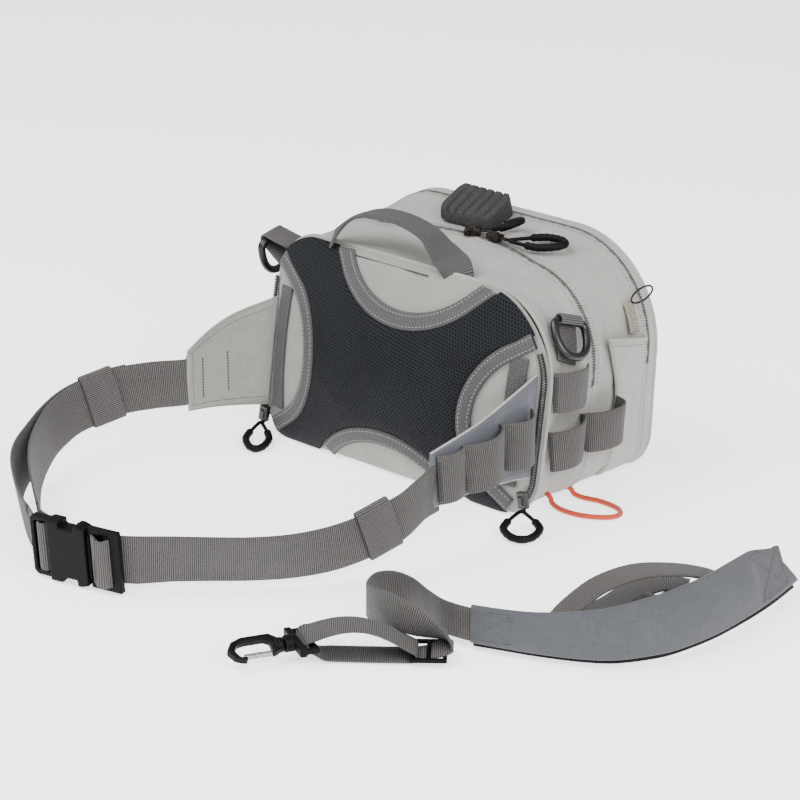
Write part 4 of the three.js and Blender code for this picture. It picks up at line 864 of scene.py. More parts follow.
def makeTapes():
    cx, cz = panel["centre"]

    def clear(px, pz, nz, limit, spare):  # inside a limit, with the tape's width above the floor
        inside = math.hypot(px - cx, pz - cz) <= limit(math.atan2(pz - cz, px - cx)) + spare
        return inside and pz - panel["tapeWidth"] * max(0, nz) >= panel["tapeLow"]

    for side, (x, z, radius, start, stop) in bites.items():
        curve = []
        for k in range(97):
            nx, nz = turned(lerp(start, stop, k / 96))
            px, pz = x + radius * nx, z + radius * nz
            if clear(px, pz, nz, reach, 2):
                curve.append((px, pz, nx, nz))
        for _ in range(2):  # each end runs straight on to the panel's edge
            (ax, az, _, _), (bx, bz, nx, nz) = curve[-2:]
            far = math.hypot(bx - ax, bz - az)
            dx, dz = (bx - ax) / far, (bz - az) / far
            for k in range(1, 40):
                px, pz = bx + dx * k * 1.5, bz + dz * k * 1.5
                if not clear(px, pz, nz, outline, -1.5):
                    break
                curve.append((px, pz, nx, nz))
            curve.reverse()
        rows = tuple(zip(panel["bindingRows"], ("lightThread", "greyThread", "lightThread")))
        panelTape("binding_tape_" + side, "binding_" + side, curve, -panel["tapeWidth"], 0.6, panel["sewn"],
                  panel["tape"], "tape", "binding_tape", rows, True)
    half = panel["edgeTapeHalf"]
    for side, sign in sides.items():
        low, high = panel["edgeTapeEnds"][side]
        curve = [(sign * panel["edgeTape"], lerp(low, high, k / 40), 1, 0) for k in range(41)]
        rows = ((1.4 - half, "greyThread"), (half - 1.4, "greyThread"))
        panelTape("edge_tape_" + side + "_web", "edge_tape_" + side, curve, -half, half, panel["sewn"],
                  panel["edgeTapeThick"], "tape", "binding_tape", rows)
    low, high = panel["zipHeights"]
    for side, sign in sides.items():
        node = "back_zip_" + side
        curve = [p for p in backEdge if sign * p[0] > 100 and low < p[1] < high]
        panelTape(node + "_tape", node, curve, *panel["zipTape"], panel["sewn"] - 0.4, 1,
                  "blackZip", "black_coil")
        line = []
        for x, z, nx, nz in curve:
            spot = panelPoint(x - nx * panel["zipMiddle"], z - nz * panel["zipMiddle"], panel["sewn"] + 0.6)
            line.append((spot, Vector((nx, 0, nz)), panelFacing(x, z)))
        toothRow(node + "_teeth", line, panel["zipTeeth"], "zipTeeth")
    # a line of painted shade along the seam under the handle, made of dark stitches that overlap
    left, right, high = panel["seamShadeLine"]
    spots = [panelPoint(lerp(left, right, k / 30), high, panel["lift"] + 0.2) for k in range(31)]
    line = [(p, Vector((0, -0.8, 0.6))) for p in spots]
    stitchLine("darkThread", line, *stitchSizes["seamShadeLine"])
    print("tapes made")


makeTapes()

# the flanks
flankFit = {
    "puff": 5, "hem": 5, "cloth": 1.2, "columns": 24, "lift": 2.1,
    "pocket": [  # height at the rear and the front edge, and the depths it runs between
        (6, 6, 0.63, 0.885), (20, 20, 0.63, 0.885), (55, 55, 0.63, 0.885), (79, 78, 0.625, 0.885),
        (100, 95, 0.575, 0.885), (112, 105, 0.545, 0.885), (120, 112, 0.53, 0.885),
    ],
    "band": [(0.012, 98, 8, 0), (0.31, 96, 0, 0)],
    "loops": [(0.035, 52, 11, 0), (0.325, 57, 15, 0.09), (0.61, 61, 0, 0)],
    "loopWidth": 31,
}


def flank(t, z, lift, side=1):
    height, right, left, _ = section(t)
    top, w = (right, shell["halfRight"]) if side > 0 else (left, shell["halfLeft"])
    b = shell["bottom"]
    cx, cz, r = 0, z, w
    if z < b:
        cx, cz, r = w - b, b, b
    if z > height - top:
        cx, cz, r = w - top, height - top, top
    nz = (z - cz) / r
    nx = math.sqrt(max(0, 1 - nz * nz))
    high = z + nz * lift
    return Vector((side * (cx + nx * (r + lift)), depthAt(t, high), high))


def flankFacing(t, z, side):
    return (flank(t, z, 1, side) - flank(t, z, 0, side)).normalized()


def makePocket(name, side):
    fit, node, columns = flankFit, "side_pocket_" + name, flankFit["columns"]
    rows = []
    table = fill(fit["pocket"], 8)
    for k, (rear, front, start, stop) in enumerate(table):
        s = k / (len(table) - 1)
        row = []
        for j in range(columns + 1):
            c = j / columns
            z = lerp(rear, front, c)
            puff = fit["puff"] * math.sin(math.pi * c) ** 0.7 * s ** 1.5 + lerp(0.3, 1.2, s * s)
            wrinkle = 1.2 * noise.noise(Vector((c * 3, z / 16, side * 5))) * math.sin(math.pi * c)
            sunk = 1.5 * max(0, 1 - 7 * min(c, 1 - c)) * (1 - 0.6 * s) + 1.2 * max(0, 1 - 9 * s)
            row.append(flank(lerp(start, stop, c), z, 0.5 + puff + wrinkle - sunk, side))
        rows.append(row)
    piece = gridPiece(node + "_cloth", rows, lambda i, j: (j * 1.5, i * 2.2), outward=(side, 0, 0))
    thicken(piece, fit["cloth"])
    dress(piece, "shell", node)
    # a rolled hem at the mouth, with stitches below it and along both sides
    out = Vector((side, 0, 0))
    path = [p + out * 0.2 for p in rows[-1]]
    roll, _ = sweep(node + "_hem", path, [up] * len(path), [(a, b * 0.9) for a, b in roundShape(1.5, 8)])
    dress(roll, "shell")
    row = rows[-1 - fit["hem"]]
    stitchLine("greyThread", [(p + out * 0.15, out) for p in row], *stitchSizes["hem"])
    for j in (1, columns - 1):
        stitchLine("lightThread", [(r[j] + out * 0.15, out) for r in rows], *stitchSizes["seam"])


def flankLoops(node, rows, width, side):
    path, steps = [], 22
    for (t0, z0, bulge, ahead), (t1, z1, _, _) in zip(rows, rows[1:]):
        for k in range(steps):
            u = k / steps
            swell = math.sin(math.pi * u)
            t = lerp(t0, t1, u) + ahead * u * swell
            path.append(flank(t, lerp(z0, z1, u), flankFit["lift"] + bulge * swell ** 0.75, side))
    path.append(flank(rows[-1][0], rows[-1][1], flankFit["lift"], side))
    line = webPiece(node, path, [Vector((0, 0.1, 1))] * len(path), width)
    barTacks(line, len(rows), steps, width / 2 - 1.5, side)


for name, side in sides.items():
    makePocket(name, side)
    flankLoops("side_band_" + name, flankFit["band"], flankFit["loopWidth"], side)
    flankLoops("side_loops_" + name, flankFit["loops"], flankFit["loopWidth"], side)
print("flanks made")

# rings in their folds of webbing
ring = {"bar": 3.2, "length": 35, "width": 36, "rise": 10, "tab": 20, "eye": 4.8}
rightTab = {"topT": 0.2, "topZ": 140, "lowT": 0.13, "lowZ": 116, "lift": 1.6}
leftTab = {
    "eye": (-163, -34, 150), "across": (0, 0.98, 0.2), "out": (-0.92, 0, 0.39),
    "t": 0.1, "high": 147, "low": 132, "lift": 2.4,
}


def makeRing(name, node, body, centre, down, across):
    path = []
    low, half = ring["length"] - 2 * ring["bar"] - ring["rise"], ring["width"] / 2 - ring["bar"]
    for k in range(720):
        c, s = turned((k + 0.5) / 2)
        power = 0.4 if c > 0 else 0.9  # squarer at the bar, rounder below
        c, s = bent(c, power), bent(s, power)
        drop = ring["rise"] * (1 - c) if c > 0 else ring["rise"] - low * c
        path.append(centre + down * drop + across * (half * s))
    path = relaxed(evenly(path, 84, True), 3)
    piece, _ = sweep(name, path, [down.cross(across)] * len(path), roundShape(ring["bar"], 18), True)
    return dress(piece, "gloss", node, body)


def makeRings():
    fit = rightTab

    def spot(u, lift):
        return flank(lerp(fit["lowT"], fit["topT"], u), lerp(fit["lowZ"], fit["topZ"], u), lift)

    def outOf(u):
        t, z = lerp(fit["lowT"], fit["topT"], u), lerp(fit["lowZ"], fit["topZ"], u)
        ahead = flank(t + 0.05, z, 0) - flank(t - 0.05, z, 0)
        return ahead.cross(flank(t, z + 1, 0) - flank(t, z - 1, 0)).normalized()

    down = (spot(0.85, 0) - spot(1, 0)).normalized()
    across = outOf(1).cross(down).normalized()
    out = down.cross(across).normalized()
    path, wide = [], []
    for k in range(21):
        path.append(spot(k / 20, fit["lift"]))
        wide.append(outOf(k / 20).cross(down).normalized())
    centre = path[-1] + out * ring["eye"]
    for c, s in arc(-90, -6.25, 37)[1:]:
        path.append(centre + out * (ring["eye"] * s) + down * (ring["eye"] * c))
        wide.append(across)
    line = webPiece("ring_tab_right", path, wide, ring["tab"])
    off = 1 if line[4][2].x > 0 else -1
    for far in (2.5, 5):
        strapStitch("darkThread", line, (far, -8), (far, 8), off, stitchSizes["bar"])
    makeRing("ring_right_oval", "ring_right", "right_ring", centre, down, across)
    # the left fold stands out and its ring hangs straight down
    fit = leftTab
    centre, across, out = Vector(fit["eye"]), Vector(fit["across"]).normalized(), Vector(fit["out"])
    rise = across.cross(out).normalized()
    upper, lower = (flank(fit["t"], fit[word], fit["lift"], -1) for word in ("high", "low"))
    over, under = centre + rise * ring["eye"], centre - rise * ring["eye"]
    path = [upper.lerp(over, k / 12) for k in range(12)]
    path += [centre + rise * (ring["eye"] * s) + out * (ring["eye"] * c) for c, s in arc(90, -5.625, 33)]
    path += [under.lerp(lower, k / 12) for k in range(1, 13)]
    webPiece("ring_tab_left", path, [across] * len(path), ring["tab"])
    makeRing("ring_left_oval", "ring_left", "left_ring", centre, Vector((0, across.z, -across.y)), across)
    print("rings made")


makeRings()

# the ribbed fly patch
fly = {
    "width": 56, "length": 39, "base": 6.4, "rib": 2.4, "ribs": 6, "corner": 10, "rise": 8.5, "drift": 4,
    "x": -15, "from": 0.578, "to": 0.85,
}


def makeFly():
    def onTop(t):
        return Vector((fly["x"], depthAt(t, section(t)[0]), section(t)[0]))

    back = onTop(fly["from"])
    run = (onTop(fly["to"]) - back).normalized()
    wide = Vector((1, 0, 0))
    off = wide.cross(run)
    back = back + off * 1.1
    rows = []
    for k in range(37):
        y = fly["length"] * (0.5 - 0.5 * math.cos(math.pi * k / 36))
        share = y / fly["length"]
        inset = max(0, fly["corner"] - min(y, fly["length"] - y))
        half = fly["width"] / 2 - fly["corner"] + math.sqrt(max(0, fly["corner"] ** 2 - inset ** 2))
        end = min(1, min(y, fly["length"] - y) / 2.6)
        hoop = []
        for j in range(91):
            x = lerp(-half, half, j / 90)
            wave = 1 - max(0, math.cos(2 * math.pi * fly["ribs"] * (x / (2 * half) + 0.5))) ** 3
            rim = min(1, (half - abs(x)) / 2.4)
            drop = sum(1 - math.sqrt(max(0, 1 - (1 - near) ** 2)) for near in (rim, end))
            high = fly["base"] + fly["rib"] * wave * (1 - 0.3 * ease(share)) + fly["rise"] * share
            high = max(high * max(0, 1 - drop), 0.2)
            hoop.append(back + run * y + wide * (x - fly["drift"] * share) + off * high)
        hoop += [back + run * y + wide * (half * c - fly["drift"] * share) for c in (1, 0, -1)]
        rows.append(hoop)
    piece = gridPiece("fly_patch_foam", rows, lambda i, j: (i, j), False, True, True)
    dress(piece, "foam", "fly_patch")
    print("fly patch made")


makeFly()

# the grab handle
handle = {
    "width": 25, "thick": 2.2,
    "rows": [  # x, y, z, then the way its width runs
        (-87, -43, 166.6, -0.7, 0.7, 0), (-72.6, -42, 182.2, -0.4, 0.9, 0), (-58.7, -40, 190.9, -0.1, 1, 0),
        (-44.3, -38, 195, 0, 1, 0), (-25, -37, 195.7, 0, 1, 0), (-5.1, -37, 193.2, 0, 1, 0),
        (11.5, -38, 188.6, 0, 1, 0), (21, -38.5, 181.5, 0.25, 0.95, 0), (30, -38.5, 174.5, 0.6, 0.75, 0.1),
        (38.5, -39.5, 169.5, 0.9, 0.4, 0.1), (43.5, -41, 164.5, 0.97, 0.2, 0.05), (45, -42, 158, 1, 0.1, 0),
    ],
}


def makeHandle():
    table = fill(handle["rows"], 10)
    path, across = [Vector(r[:3]) for r in table], [Vector(r[3:]) for r in table]
    webPiece("grab_handle", path, across, handle["width"], handle["thick"], finish="handleWeb")
    print("handle made")


makeHandle()

# the waist wings
wings = {
    "right": {
        "root": (138.6, 136.8), "rootLow": 34, "finish": "wing", "slot": "wing_cloth",
        "binding": "shell", "thread": "greyThread",
        "rows": [(141, -95, 39, 104), (140, -130, 42, 93), (135, -174, 40, 82)],
        "loops": [(-72, 139.6, 72, 13), (-106, 141, 70, 11.5), (-145, 138.6, 63, 5), (-170, 135.6, 61, 0)],
    },
    "left": {
        "root": (-134.4, -132.6), "rootLow": 24, "finish": "panel", "slot": "panel_cloth",
        "binding": "panel", "thread": "darkThread",
        "rows": [(-145, -95, 27, 104), (-149, -120, 31, 95), (-146, -147, 36, 85)],
        "loops": [(-78, -140.5, 58, 10), (-104, -146.8, 58, 9), (-130, -148.9, 59, 4), (-144, -146.6, 60, 0)],
    },
    "thick": 3, "rootHigh": 112, "columns": 14, "loopWidth": 38, "loopLift": 1.7, "barHalf": 16.4,
}


def makeWing(name, side):
    own = wings[name]
    lift = panel["sewn"] + 1
    root = [panelPoint(x, z, lift) for x, z in zip(own["root"], (own["rootLow"], wings["rootHigh"]))]
    table = [(root[0].x, root[0].y, root[0].z, root[1].x, root[1].y, root[1].z)]
    table += [(x, y, low, x, y, high) for x, y, low, high in own["rows"]]
    lines = [(Vector(r[:3]), Vector(r[3:])) for r in fill(table, 14)]
    columns = wings["columns"]
    rows, upper, lower, far = [], [], [], [0]
    for i, (low, high) in enumerate(lines):
        along = lines[min(i + 1, len(lines) - 1)][0] - lines[max(i - 1, 0)][0]
        along.z = 0
        half = along.normalized().cross(up) * (wings["thick"] / 2)
        hoop = []
        for face in (1, -1):
            for j in range(columns + 1):
                c = j / columns if face > 0 else 1 - j / columns
                dent = 0.15 * noise.noise(Vector((i / 5, c * 4, face * 3)))
                puff = 0.55 + 0.45 * min(1, 9 * min(c, 1 - c)) + dent
                hoop.append(low.lerp(high, c) + half * face * puff)
        rows.append(hoop)
        upper.append(high)
        lower.append(low)
        far.append(far[-1] + along.length / 2)

    def share(j):  # how high a column of either face is
        return (j if j <= columns else 2 * columns + 1 - j) / columns

    def place(i, j):
        return far[i], 75 * share(j % len(rows[0]))

    piece = gridPiece("wing_" + name + "_cloth", rows, place, False, True, True)
    dress(piece, own["finish"], "wing_" + name)
    shape = [(a * 0.8, b * 1.1) for a, b in roundShape(1, 10)]
    for path, word in ((upper, "top"), (lower, "foot")):
        roll, _ = sweep(f"wing_{name}_{word}_binding", path, [up] * len(path), shape)
        dress(roll, own["binding"])
    for face, first in ((1, 0), (-1, columns + 1)):
        for inset in (1, columns - 1):
            line = []
            for i in range(2, len(rows) - 1):
                j = first + inset
                along = rows[min(i + 1, len(rows) - 1)][j] - rows[i - 1][j]
                out = along.cross(up).normalized() * face
                line.append((rows[i][j] + out * 0.1, out))
            stitchLine(own["thread"], line, *stitchSizes["wing"])
    # the hem's stitches across the wing's end
    for first in (0, columns + 1):
        line = []
        for j in range(first + 1, first + columns):
            out = (rows[-4][j] - lines[-4][0].lerp(lines[-4][1], share(j))).normalized()
            line.append((rows[-4][j] + out * 0.1, out))
        stitchLine(own["thread"], line, *stitchSizes["wing"])
    # the loops' stitches show through on the inner face
    for y, _, z, _ in own["loops"][1:3]:
        low, high = min(lines, key=lambda pair: abs(pair[0].y - y))
        inner = Vector((-side, 0, 0))
        for shift in (-0.4, 0.4):
            spots = [low.lerp(high, (z + rise - low.z) / (high.z - low.z)) for rise in (-17, -8, 0, 8, 17)]
            off = inner * (wings["thick"] / 2 + 0.2) + Vector((0, shift, 0))
            stitchLine("darkThread", [(p + off, inner) for p in spots], *stitchSizes["through"])
    # webbing loops on the outer face
    path, steps, lift = [], 20, wings["thick"] / 2 + wings["loopLift"]
    for (y0, x0, z0, bulge), (y1, x1, z1, _) in zip(own["loops"], own["loops"][1:]):
        for k in range(steps):
            u = k / steps
            out = lift + bulge * math.sin(math.pi * u) ** 0.75
            path.append(Vector((lerp(x0, x1, u) + side * out, lerp(y0, y1, u), lerp(z0, z1, u))))
    y, x, z, _ = own["loops"][-1]
    path.append(Vector((x + side * lift, y, z)))
    line = webPiece("wing_loops_" + name, path, [up] * len(path), wings["loopWidth"])
    barTacks(line, len(own["loops"]), steps, wings["barHalf"], side)


for name, side in sides.items():
    makeWing(name, side)
print("wings made")

# the belt and its buckle
belt = {
    "width": 38,
    "left": [  # x, y, lower edge, lean, and how far the doubled tail lies outside
        (-147.1, -142, 40.4, 2, 0), (-149, -150.5, 40, 3, 0), (-164, -168, 38.5, 7, 2.6),
        (-180, -187, 35, 9, 2.6), (-188, -207, 30, 10, 2.6), (-192, -226, 25, 11, 2.8),
        (-188, -248, 18, 12, 4), (-176, -269, 13, 12, 7), (-162, -287, 9.5, 12, 11),
        (-145, -304, 7.5, 11, 13), (-120, -325, 6.5, 10, 12.5), (-92, -346, 5.4, 9, 11),
        (-73, -360, 4.4, 8, 7.5),
    ],
    "right": [
        (135.4, -168, 35, -2), (135.2, -178, 33.5, -3), (136, -190, 31, -5), (134, -206, 24, -6),
        (126, -226, 16, -7), (113, -253, 9.5, -9), (96, -277, 6.5, -12), (76, -299, 5.6, -13),
        (56, -319, 5.8, -12), (38, -338, 6.2, -10),
    ],
}
keepers = {  # the first belt row it lies on, lean, layers inside and the way out
    "left": (3, 9.5, 2, 1), "right": (3, 6.5, 1, -1), "width": 27, "thick": 1.5, "spare": 1.5, "layer": 1.3,
}
buckle = {
    "origin": (-55, -385, 1.4), "along": (0.977, 0.212, 0), "up": (-0.15, -0.12, 1),
    "length": 50, "height": 48, "plug": 26, "wrap": 4.6,
    "threading": [  # along and out, over the middle bar
        (-3, 13.6), (8, 9.4), (12.6, 5), (13.4, 1.4), (13.3, -2.2), (10.1, -3.6), (6.9, -2.2), (6.7, 1.4),
        (4.6, 4.2), (-1, 5.6), (-7, 9),
    ],
}


def frameAt(origin, along, rise):  # X along, Z as near up as it can be
    x = Vector(along).normalized()
    y = Vector(rise).cross(x).normalized()
    z = x.cross(y)
    made = Matrix((x, y, z)).transposed().to_4x4()
    made.translation = Vector(origin)
    return made


buckleFrame = frameAt(buckle["origin"], buckle["along"], buckle["up"])


def inBuckle(x, y, z):
    return buckleFrame @ Vector((x, y, z))


def leaning(table):  # webbing on edge: centre, width's direction and the way out, for each row
    out = []
    for i, r in enumerate(table):
        a, b = table[max(i - 1, 0)], table[min(i + 1, len(table) - 1)]
        away = Vector((b[0] - a[0], b[1] - a[1], 0)).normalized().cross(up)
        c, s = turned(r[3])
        out.append((Vector(r[:3]), up * c + away * s, away))
    return out


def makeBelts():
    width, wrap, middle = belt["width"], buckle["wrap"], buckle["height"] / 2
    buckleUp = buckleFrame.to_3x3().col[2].copy()
    table = fill(belt["left"], 7)
    inner = []
    for (p, across, away), row in zip(leaning(table), table):
        inner.append((p + across * (width / 2), across, away, row[4]))
    entry = [inBuckle(x, y, middle) for x, y in fill(buckle["threading"], 3)]
    tail = inner[19:][::-1]
    path = [r[0] for r in inner] + entry + [p + away * apart for p, _, away, apart in tail]
    across = [r[1] for r in inner] + [buckleUp] * len(entry) + [r[1] for r in tail]
    line = webPiece("belt_left", path, across, width, columns=8)
    for side in (-16.8, 16.8):
        for off in (-web["face"], web["face"]):
            strapStitch("greyThread", line, (1, side), (14, side), off)
    # the right half ends in a sewn loop on the plug
    table = fill(belt["right"], 7)
    run = [(p + across * (width / 2), across) for p, across, _ in leaning(table)]
    middleX, plugEnd = buckle["length"] + 8, buckle["length"] + buckle["plug"]
    entry = [inBuckle(plugEnd + 8, 9, middle), inBuckle(plugEnd - 2, 5.4, middle)]
    entry += [inBuckle(middleX + wrap * c, wrap * s, middle) for c, s in arc(90, 11.25, 17)]
    for x, y in ((3, -wrap - 2.4), (8, -wrap - 2), (11, -1)):
        entry.append(inBuckle(middleX + x, y, middle - 1))
    path = [r[0] for r in run] + entry
    across = [r[1] for r in run] + [buckleUp] * len(entry)
    webPiece("belt_right", path, across, width, columns=8)
    for name in ("left", "right"):
        first, lean, layers, side = keepers[name]
        a, b = (Vector(row[:3]) for row in belt[name][first:first + 2])
        along = (b - a).normalized()
        away = Vector((along.x, along.y, 0)).normalized().cross(up) * side
        c, s = turned(lean)
        tall = up * c + away * s
        tall = (tall - along * tall.dot(along)).normalized()
        away = (away - tall * away.dot(tall) - along * away.dot(along)).normalized()
        centre = (a + b) / 2 + tall * (width / 2) + away * ((layers - 1) * keepers["layer"])
        high, deep = width / 2 + keepers["spare"], layers * keepers["layer"] + 2
        turns = [(bent(c, 0.3), bent(s, 0.3)) for c, s in arc(0, 1, 360)]
        path = evenly([centre + tall * (high * c) + away * (deep * s) for c, s in turns], 72, True)
        webPiece("keeper_" + name, path, [along] * len(path), keepers["width"], keepers["thick"], True)
    print("belts made")


makeBelts()


def castPiece(name, node, finish, grain, soft, body="pack"):  # a hard solid's copy with rounded edges
    piece = bpy.data.objects.new(name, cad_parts[node].data.copy())
    scene.collection.objects.link(piece)
    cast = piece.modifiers.new("cast", "REMESH")
    cast.mode, cast.voxel_size, cast.use_smooth_shade = "VOXEL", grain * mm, True
    rounded = piece.modifiers.new("rounded", "SMOOTH")
    rounded.factor, rounded.iterations = 0.5, soft
    return dress(piece, finish, node, body)


castPiece("buckle_socket_cast", "buckle_socket", "plastic", 0.6, 6)
castPiece("buckle_plug_cast", "buckle_plug", "plastic", 0.6, 6)
for name in sides:
    castPiece("slide_" + name + "_cast", "slide_" + name, "plastic", 0.5, 4)
castPiece("hook_base_cast", "hook_base_left", "plastic", 0.5, 18)
castPiece("hook_left_cast", "hook_left", "plastic", 0.5, 32, "hook")
castPiece("hook_gate_cast", "hook_gate_left", "steel", 0.3, 3, "gate")
castPiece("hook_right_cast", "hook_right", "plastic", 0.5, 10)
print("hard pieces made")

# zip sliders and pulls
pulls = {"cord": 1.5, "grip": 3}
bareEnd = {"low": 119, "high": 140, "from": 0.74, "to": 0.825, "middle": 0.782, "tape": 1, "teeth": 4.2}
wirePull = {"t": 0.8, "high": 140, "lift": 3, "long": 9.5, "wide": 4.5, "wire": 0.8, "points": 60}


def onTop(x, t, lift):
    return Vector((x, depthAt(t, section(t)[0]), section(t)[0] + lift))


def atFoot(x):
    return panelPoint(x, 17, panel["sewn"] + 1.9)


zipEnds = {  # slider's place, run and up; its pull's start ahead and above, end, width's way and width; finish
    "top_right": (
        onTop(26, 0.51, 1.2), (0.93, -0.12, 0.02), (0, 0, 1),
        16.3, 2.76, (84, 35, 180.4), (-0.35, 0.92, 0.12), 27, "bronze",
    ),
    "top_left": (
        onTop(3, 0.512, 0.8), (0.86, 0.47, 0.1), (0, -0.12, 1),
        16.3, 2.76, (36.5, 39, 188), (0.5, -0.82, 0.16), 27, "bronze",
    ),
    "back_right": (
        atFoot(138.5), (0.2, 0, -1), (0, -1, -0.15),
        8, 5.36, (166, -108, 3.4), (0.73, 0.68, 0), 34, "gloss",
    ),
    "back_left": (
        atFoot(-134.5), (-0.2, 0, -1), (0, -1, -0.15),
        8, 5.36, (-108, -112, 3.4), (0.7, 0.72, 0), 25, "gloss",
    ),
}


def makeZipEnds():
    for name, (at, along, rise, ahead, above, end, wide, across, finish) in zipEnds.items():
        castPiece("slider_" + name + "_cast", "slider_" + name, finish, 0.3, 4)
        seat = frameAt(at, along, rise)
        start = seat @ Vector((ahead, 0, above))
        run = Vector(end) - start
        length, way = run.length, run.normalized()
        sideways = Vector(wide)
        sideways = (sideways - way * sideways.dot(way)).normalized()
        path = []
        for c, s in arc(0, 1, 360):
            taper = 0.35 + 0.65 * min(1, (1 - c) / 1.2)
            half = (across / 2 - pulls["grip"]) * taper
            path.append(start + way * (length / 2 * (1 - c)) + sideways * (half * s))
        path = evenly(path, 96, True)

        def thick(i):
            far = (path[i] - start).dot(way) / length
            swell = ease(max(0, min(1, (far - 0.32) / 0.05)))
            grip = pulls["grip"] * (1 - 0.05 * math.sin(far * 60) * swell)
            return roundShape(lerp(pulls["cord"], grip, swell), 14)

        piece, _ = sweep("pull_" + name + "_loop", path, [way.cross(sideways)] * len(path), thick, True)
        dress(piece, "grip", "pull_" + name)
    # the front zip's bare tape end and its wire pull
    heights = [lerp(bareEnd["low"], bareEnd["high"], k / 12) for k in range(13)]
    columns = []
    for j in range(7):
        lift = 1.3 + 0.4 * math.sin(math.pi * j / 6)
        columns.append((lerp(bareEnd["from"], bareEnd["to"], j / 6), lift))
    rows = [[flank(t, z, lift) for t, lift in columns] for z in heights]
    piece = gridPiece("front_zip_end_tape", rows, lambda i, j: (i * 1.8, j * 1.7), outward=(1, 0, 0))
    thicken(piece, bareEnd["tape"])
    dress(piece, "beigeZip", "front_zip_end")
    t = bareEnd["middle"]
    line = [(flank(t, z, 1.7), Vector((0, 1, 0)), flankFacing(t, z, 1)) for z in heights]
    toothRow("front_zip_end_teeth", line, bareEnd["teeth"], "beigeCoil")
    start = flank(wirePull["t"], wirePull["high"], wirePull["lift"])
    way = Vector((0.55, 0.55, 0.62)).normalized()
    sideways = way.cross(Vector((0.75, -0.65, 0.1))).normalized()
    path = []
    for c, s in arc(0, 360 // wirePull["points"], wirePull["points"]):
        path.append(start + way * (wirePull["long"] * (1 - c)) + sideways * (wirePull["wide"] * s))
    shape = roundShape(wirePull["wire"], 10)
    piece, _ = sweep("front_zip_pull_wire", path, [way.cross(sideways)] * len(path), shape, True)
    dress(piece, "bronze", "front_zip_pull")
    print("zip pulls made")


makeZipEnds()

# the shoulder strap
shoulder = {
    "rest": 5.2, "backing": 3, "drop": 4.4, "gap": 0.3,
    "pad": [  # x, y, width, thick, lean
        (259, -269, 28, 5, 0), (279, -262, 28.5, 6, 0), (302, -253.5, 30, 6.4, -1),
        (328, -241, 34, 6.4, -2), (348, -227, 37.5, 6.4, -5), (362, -207, 40.5, 6.4, -8),
        (370.5, -186, 42, 6.4, -10), (375.5, -150, 42, 6.4, -14), (375, -112, 41, 6.4, -20),
        (372, -80, 39, 6, -24), (367, -52, 33, 5, -24),
    ],
    "skew": 11, "padSides": 28, "backingSides": 16, "steps": 8, "square": 0.55,
    "puff": {
        "pressure": 200, "mass": 0.015, "stretch": 0.5, "most": 5, "frames": 20, "seam": 4.2, "flatRows": 12,
    },
    "left": [  # x, y, z, then the way its width runs
        (266, -266, 18.5, 0, 0, 1), (258.05, -269.4, 18.5, 0, 0, 1), (236, -271, 18.1, 0, 0, 1),
        (213, -262, 15.5, 0, 0, 1), (191, -254, 15.5, 0, 0, 1), (175, -256, 16.5, 0, 0, 1),
        (169.5, -268, 17.5, 0, 0, 1), (178, -286, 18.5, 0, 0, 1), (197, -299, 24, 0, 0, 1),
        (216, -303.5, 28, 0, 0, 1), (232, -301.5, 25, 0.1, -0.1, 0.95), (245, -295, 19.5, 0.3, -0.4, 0.8),
        (254, -289, 13.5, 0.5, -0.6, 0.5), (258, -287, 8.4, 0.62, -0.72, 0.2),
        (254.5, -290.6, 7.2, 0.655, -0.755, 0), (250, -294.6, 5.4, 0.655, -0.755, 0),
        (246.5, -297.8, 3.4, 0.655, -0.755, 0), (242, -301.8, 2.2, 0.655, -0.755, 0),
        (239.6, -303.9, 1.9, 0.655, -0.755, 0),
    ],
    "right": [  # x, y, z, then the way its width runs
        (360, -66, 26, -0.38, -0.08, 0.91), (358.6, -55, 24.2, -0.36, -0.15, 0.91),
        (355.4, -46.5, 21.6, -0.25, -0.17, 0.95), (348.5, -43, 18, 0, -0.2, 0.97),
        (341, -54, 15, 0.5, -0.2, 0.8), (339.5, -74, 13, 0.85, -0.4, 0.3),
        (335.5, -101.6, 24, 0.9, -0.44, 0), (326, -130, 34, 0.9, -0.44, 0),
        (312.6, -157, 37.5, 0.9, -0.44, 0), (300, -182, 32, 0.9, -0.44, 0), (290, -201, 19, 0.9, -0.44, 0),
        (285, -211, 8.5, 0.92, -0.4, 0), (283.5, -213, 4.4, 0.94, -0.34, 0),
        (283.8, -210, 1.9, 0.96, -0.28, 0), (284.2, -200, 1.5, 0.97, -0.2, 0),
        (285, -176, 1.6, 0.98, -0.1, 0), (286, -152, 2.6, 0.98, -0.2, 0), (287, -128, 5.2, 0.95, -0.3, 0),
        (297, -108, 7.8, 0.72, -0.69, 0), (312, -99, 7.25, 0.5, -0.86, 0),
    ],
    "ends": {  # slide's and hook's places, the hook's way and the webbing's arch
        "left": (238, -305, 185, -351, (-0.45, -0.9, 0), 11), "right": (322, -129, 325, -166, (0.05, -1, 0), 5),
    },
    "slideRest": 4.6, "eyeHeight": 11.5, "eyeWrap": 4.7, "strap": 25, "hookStrap": 1.6,
}


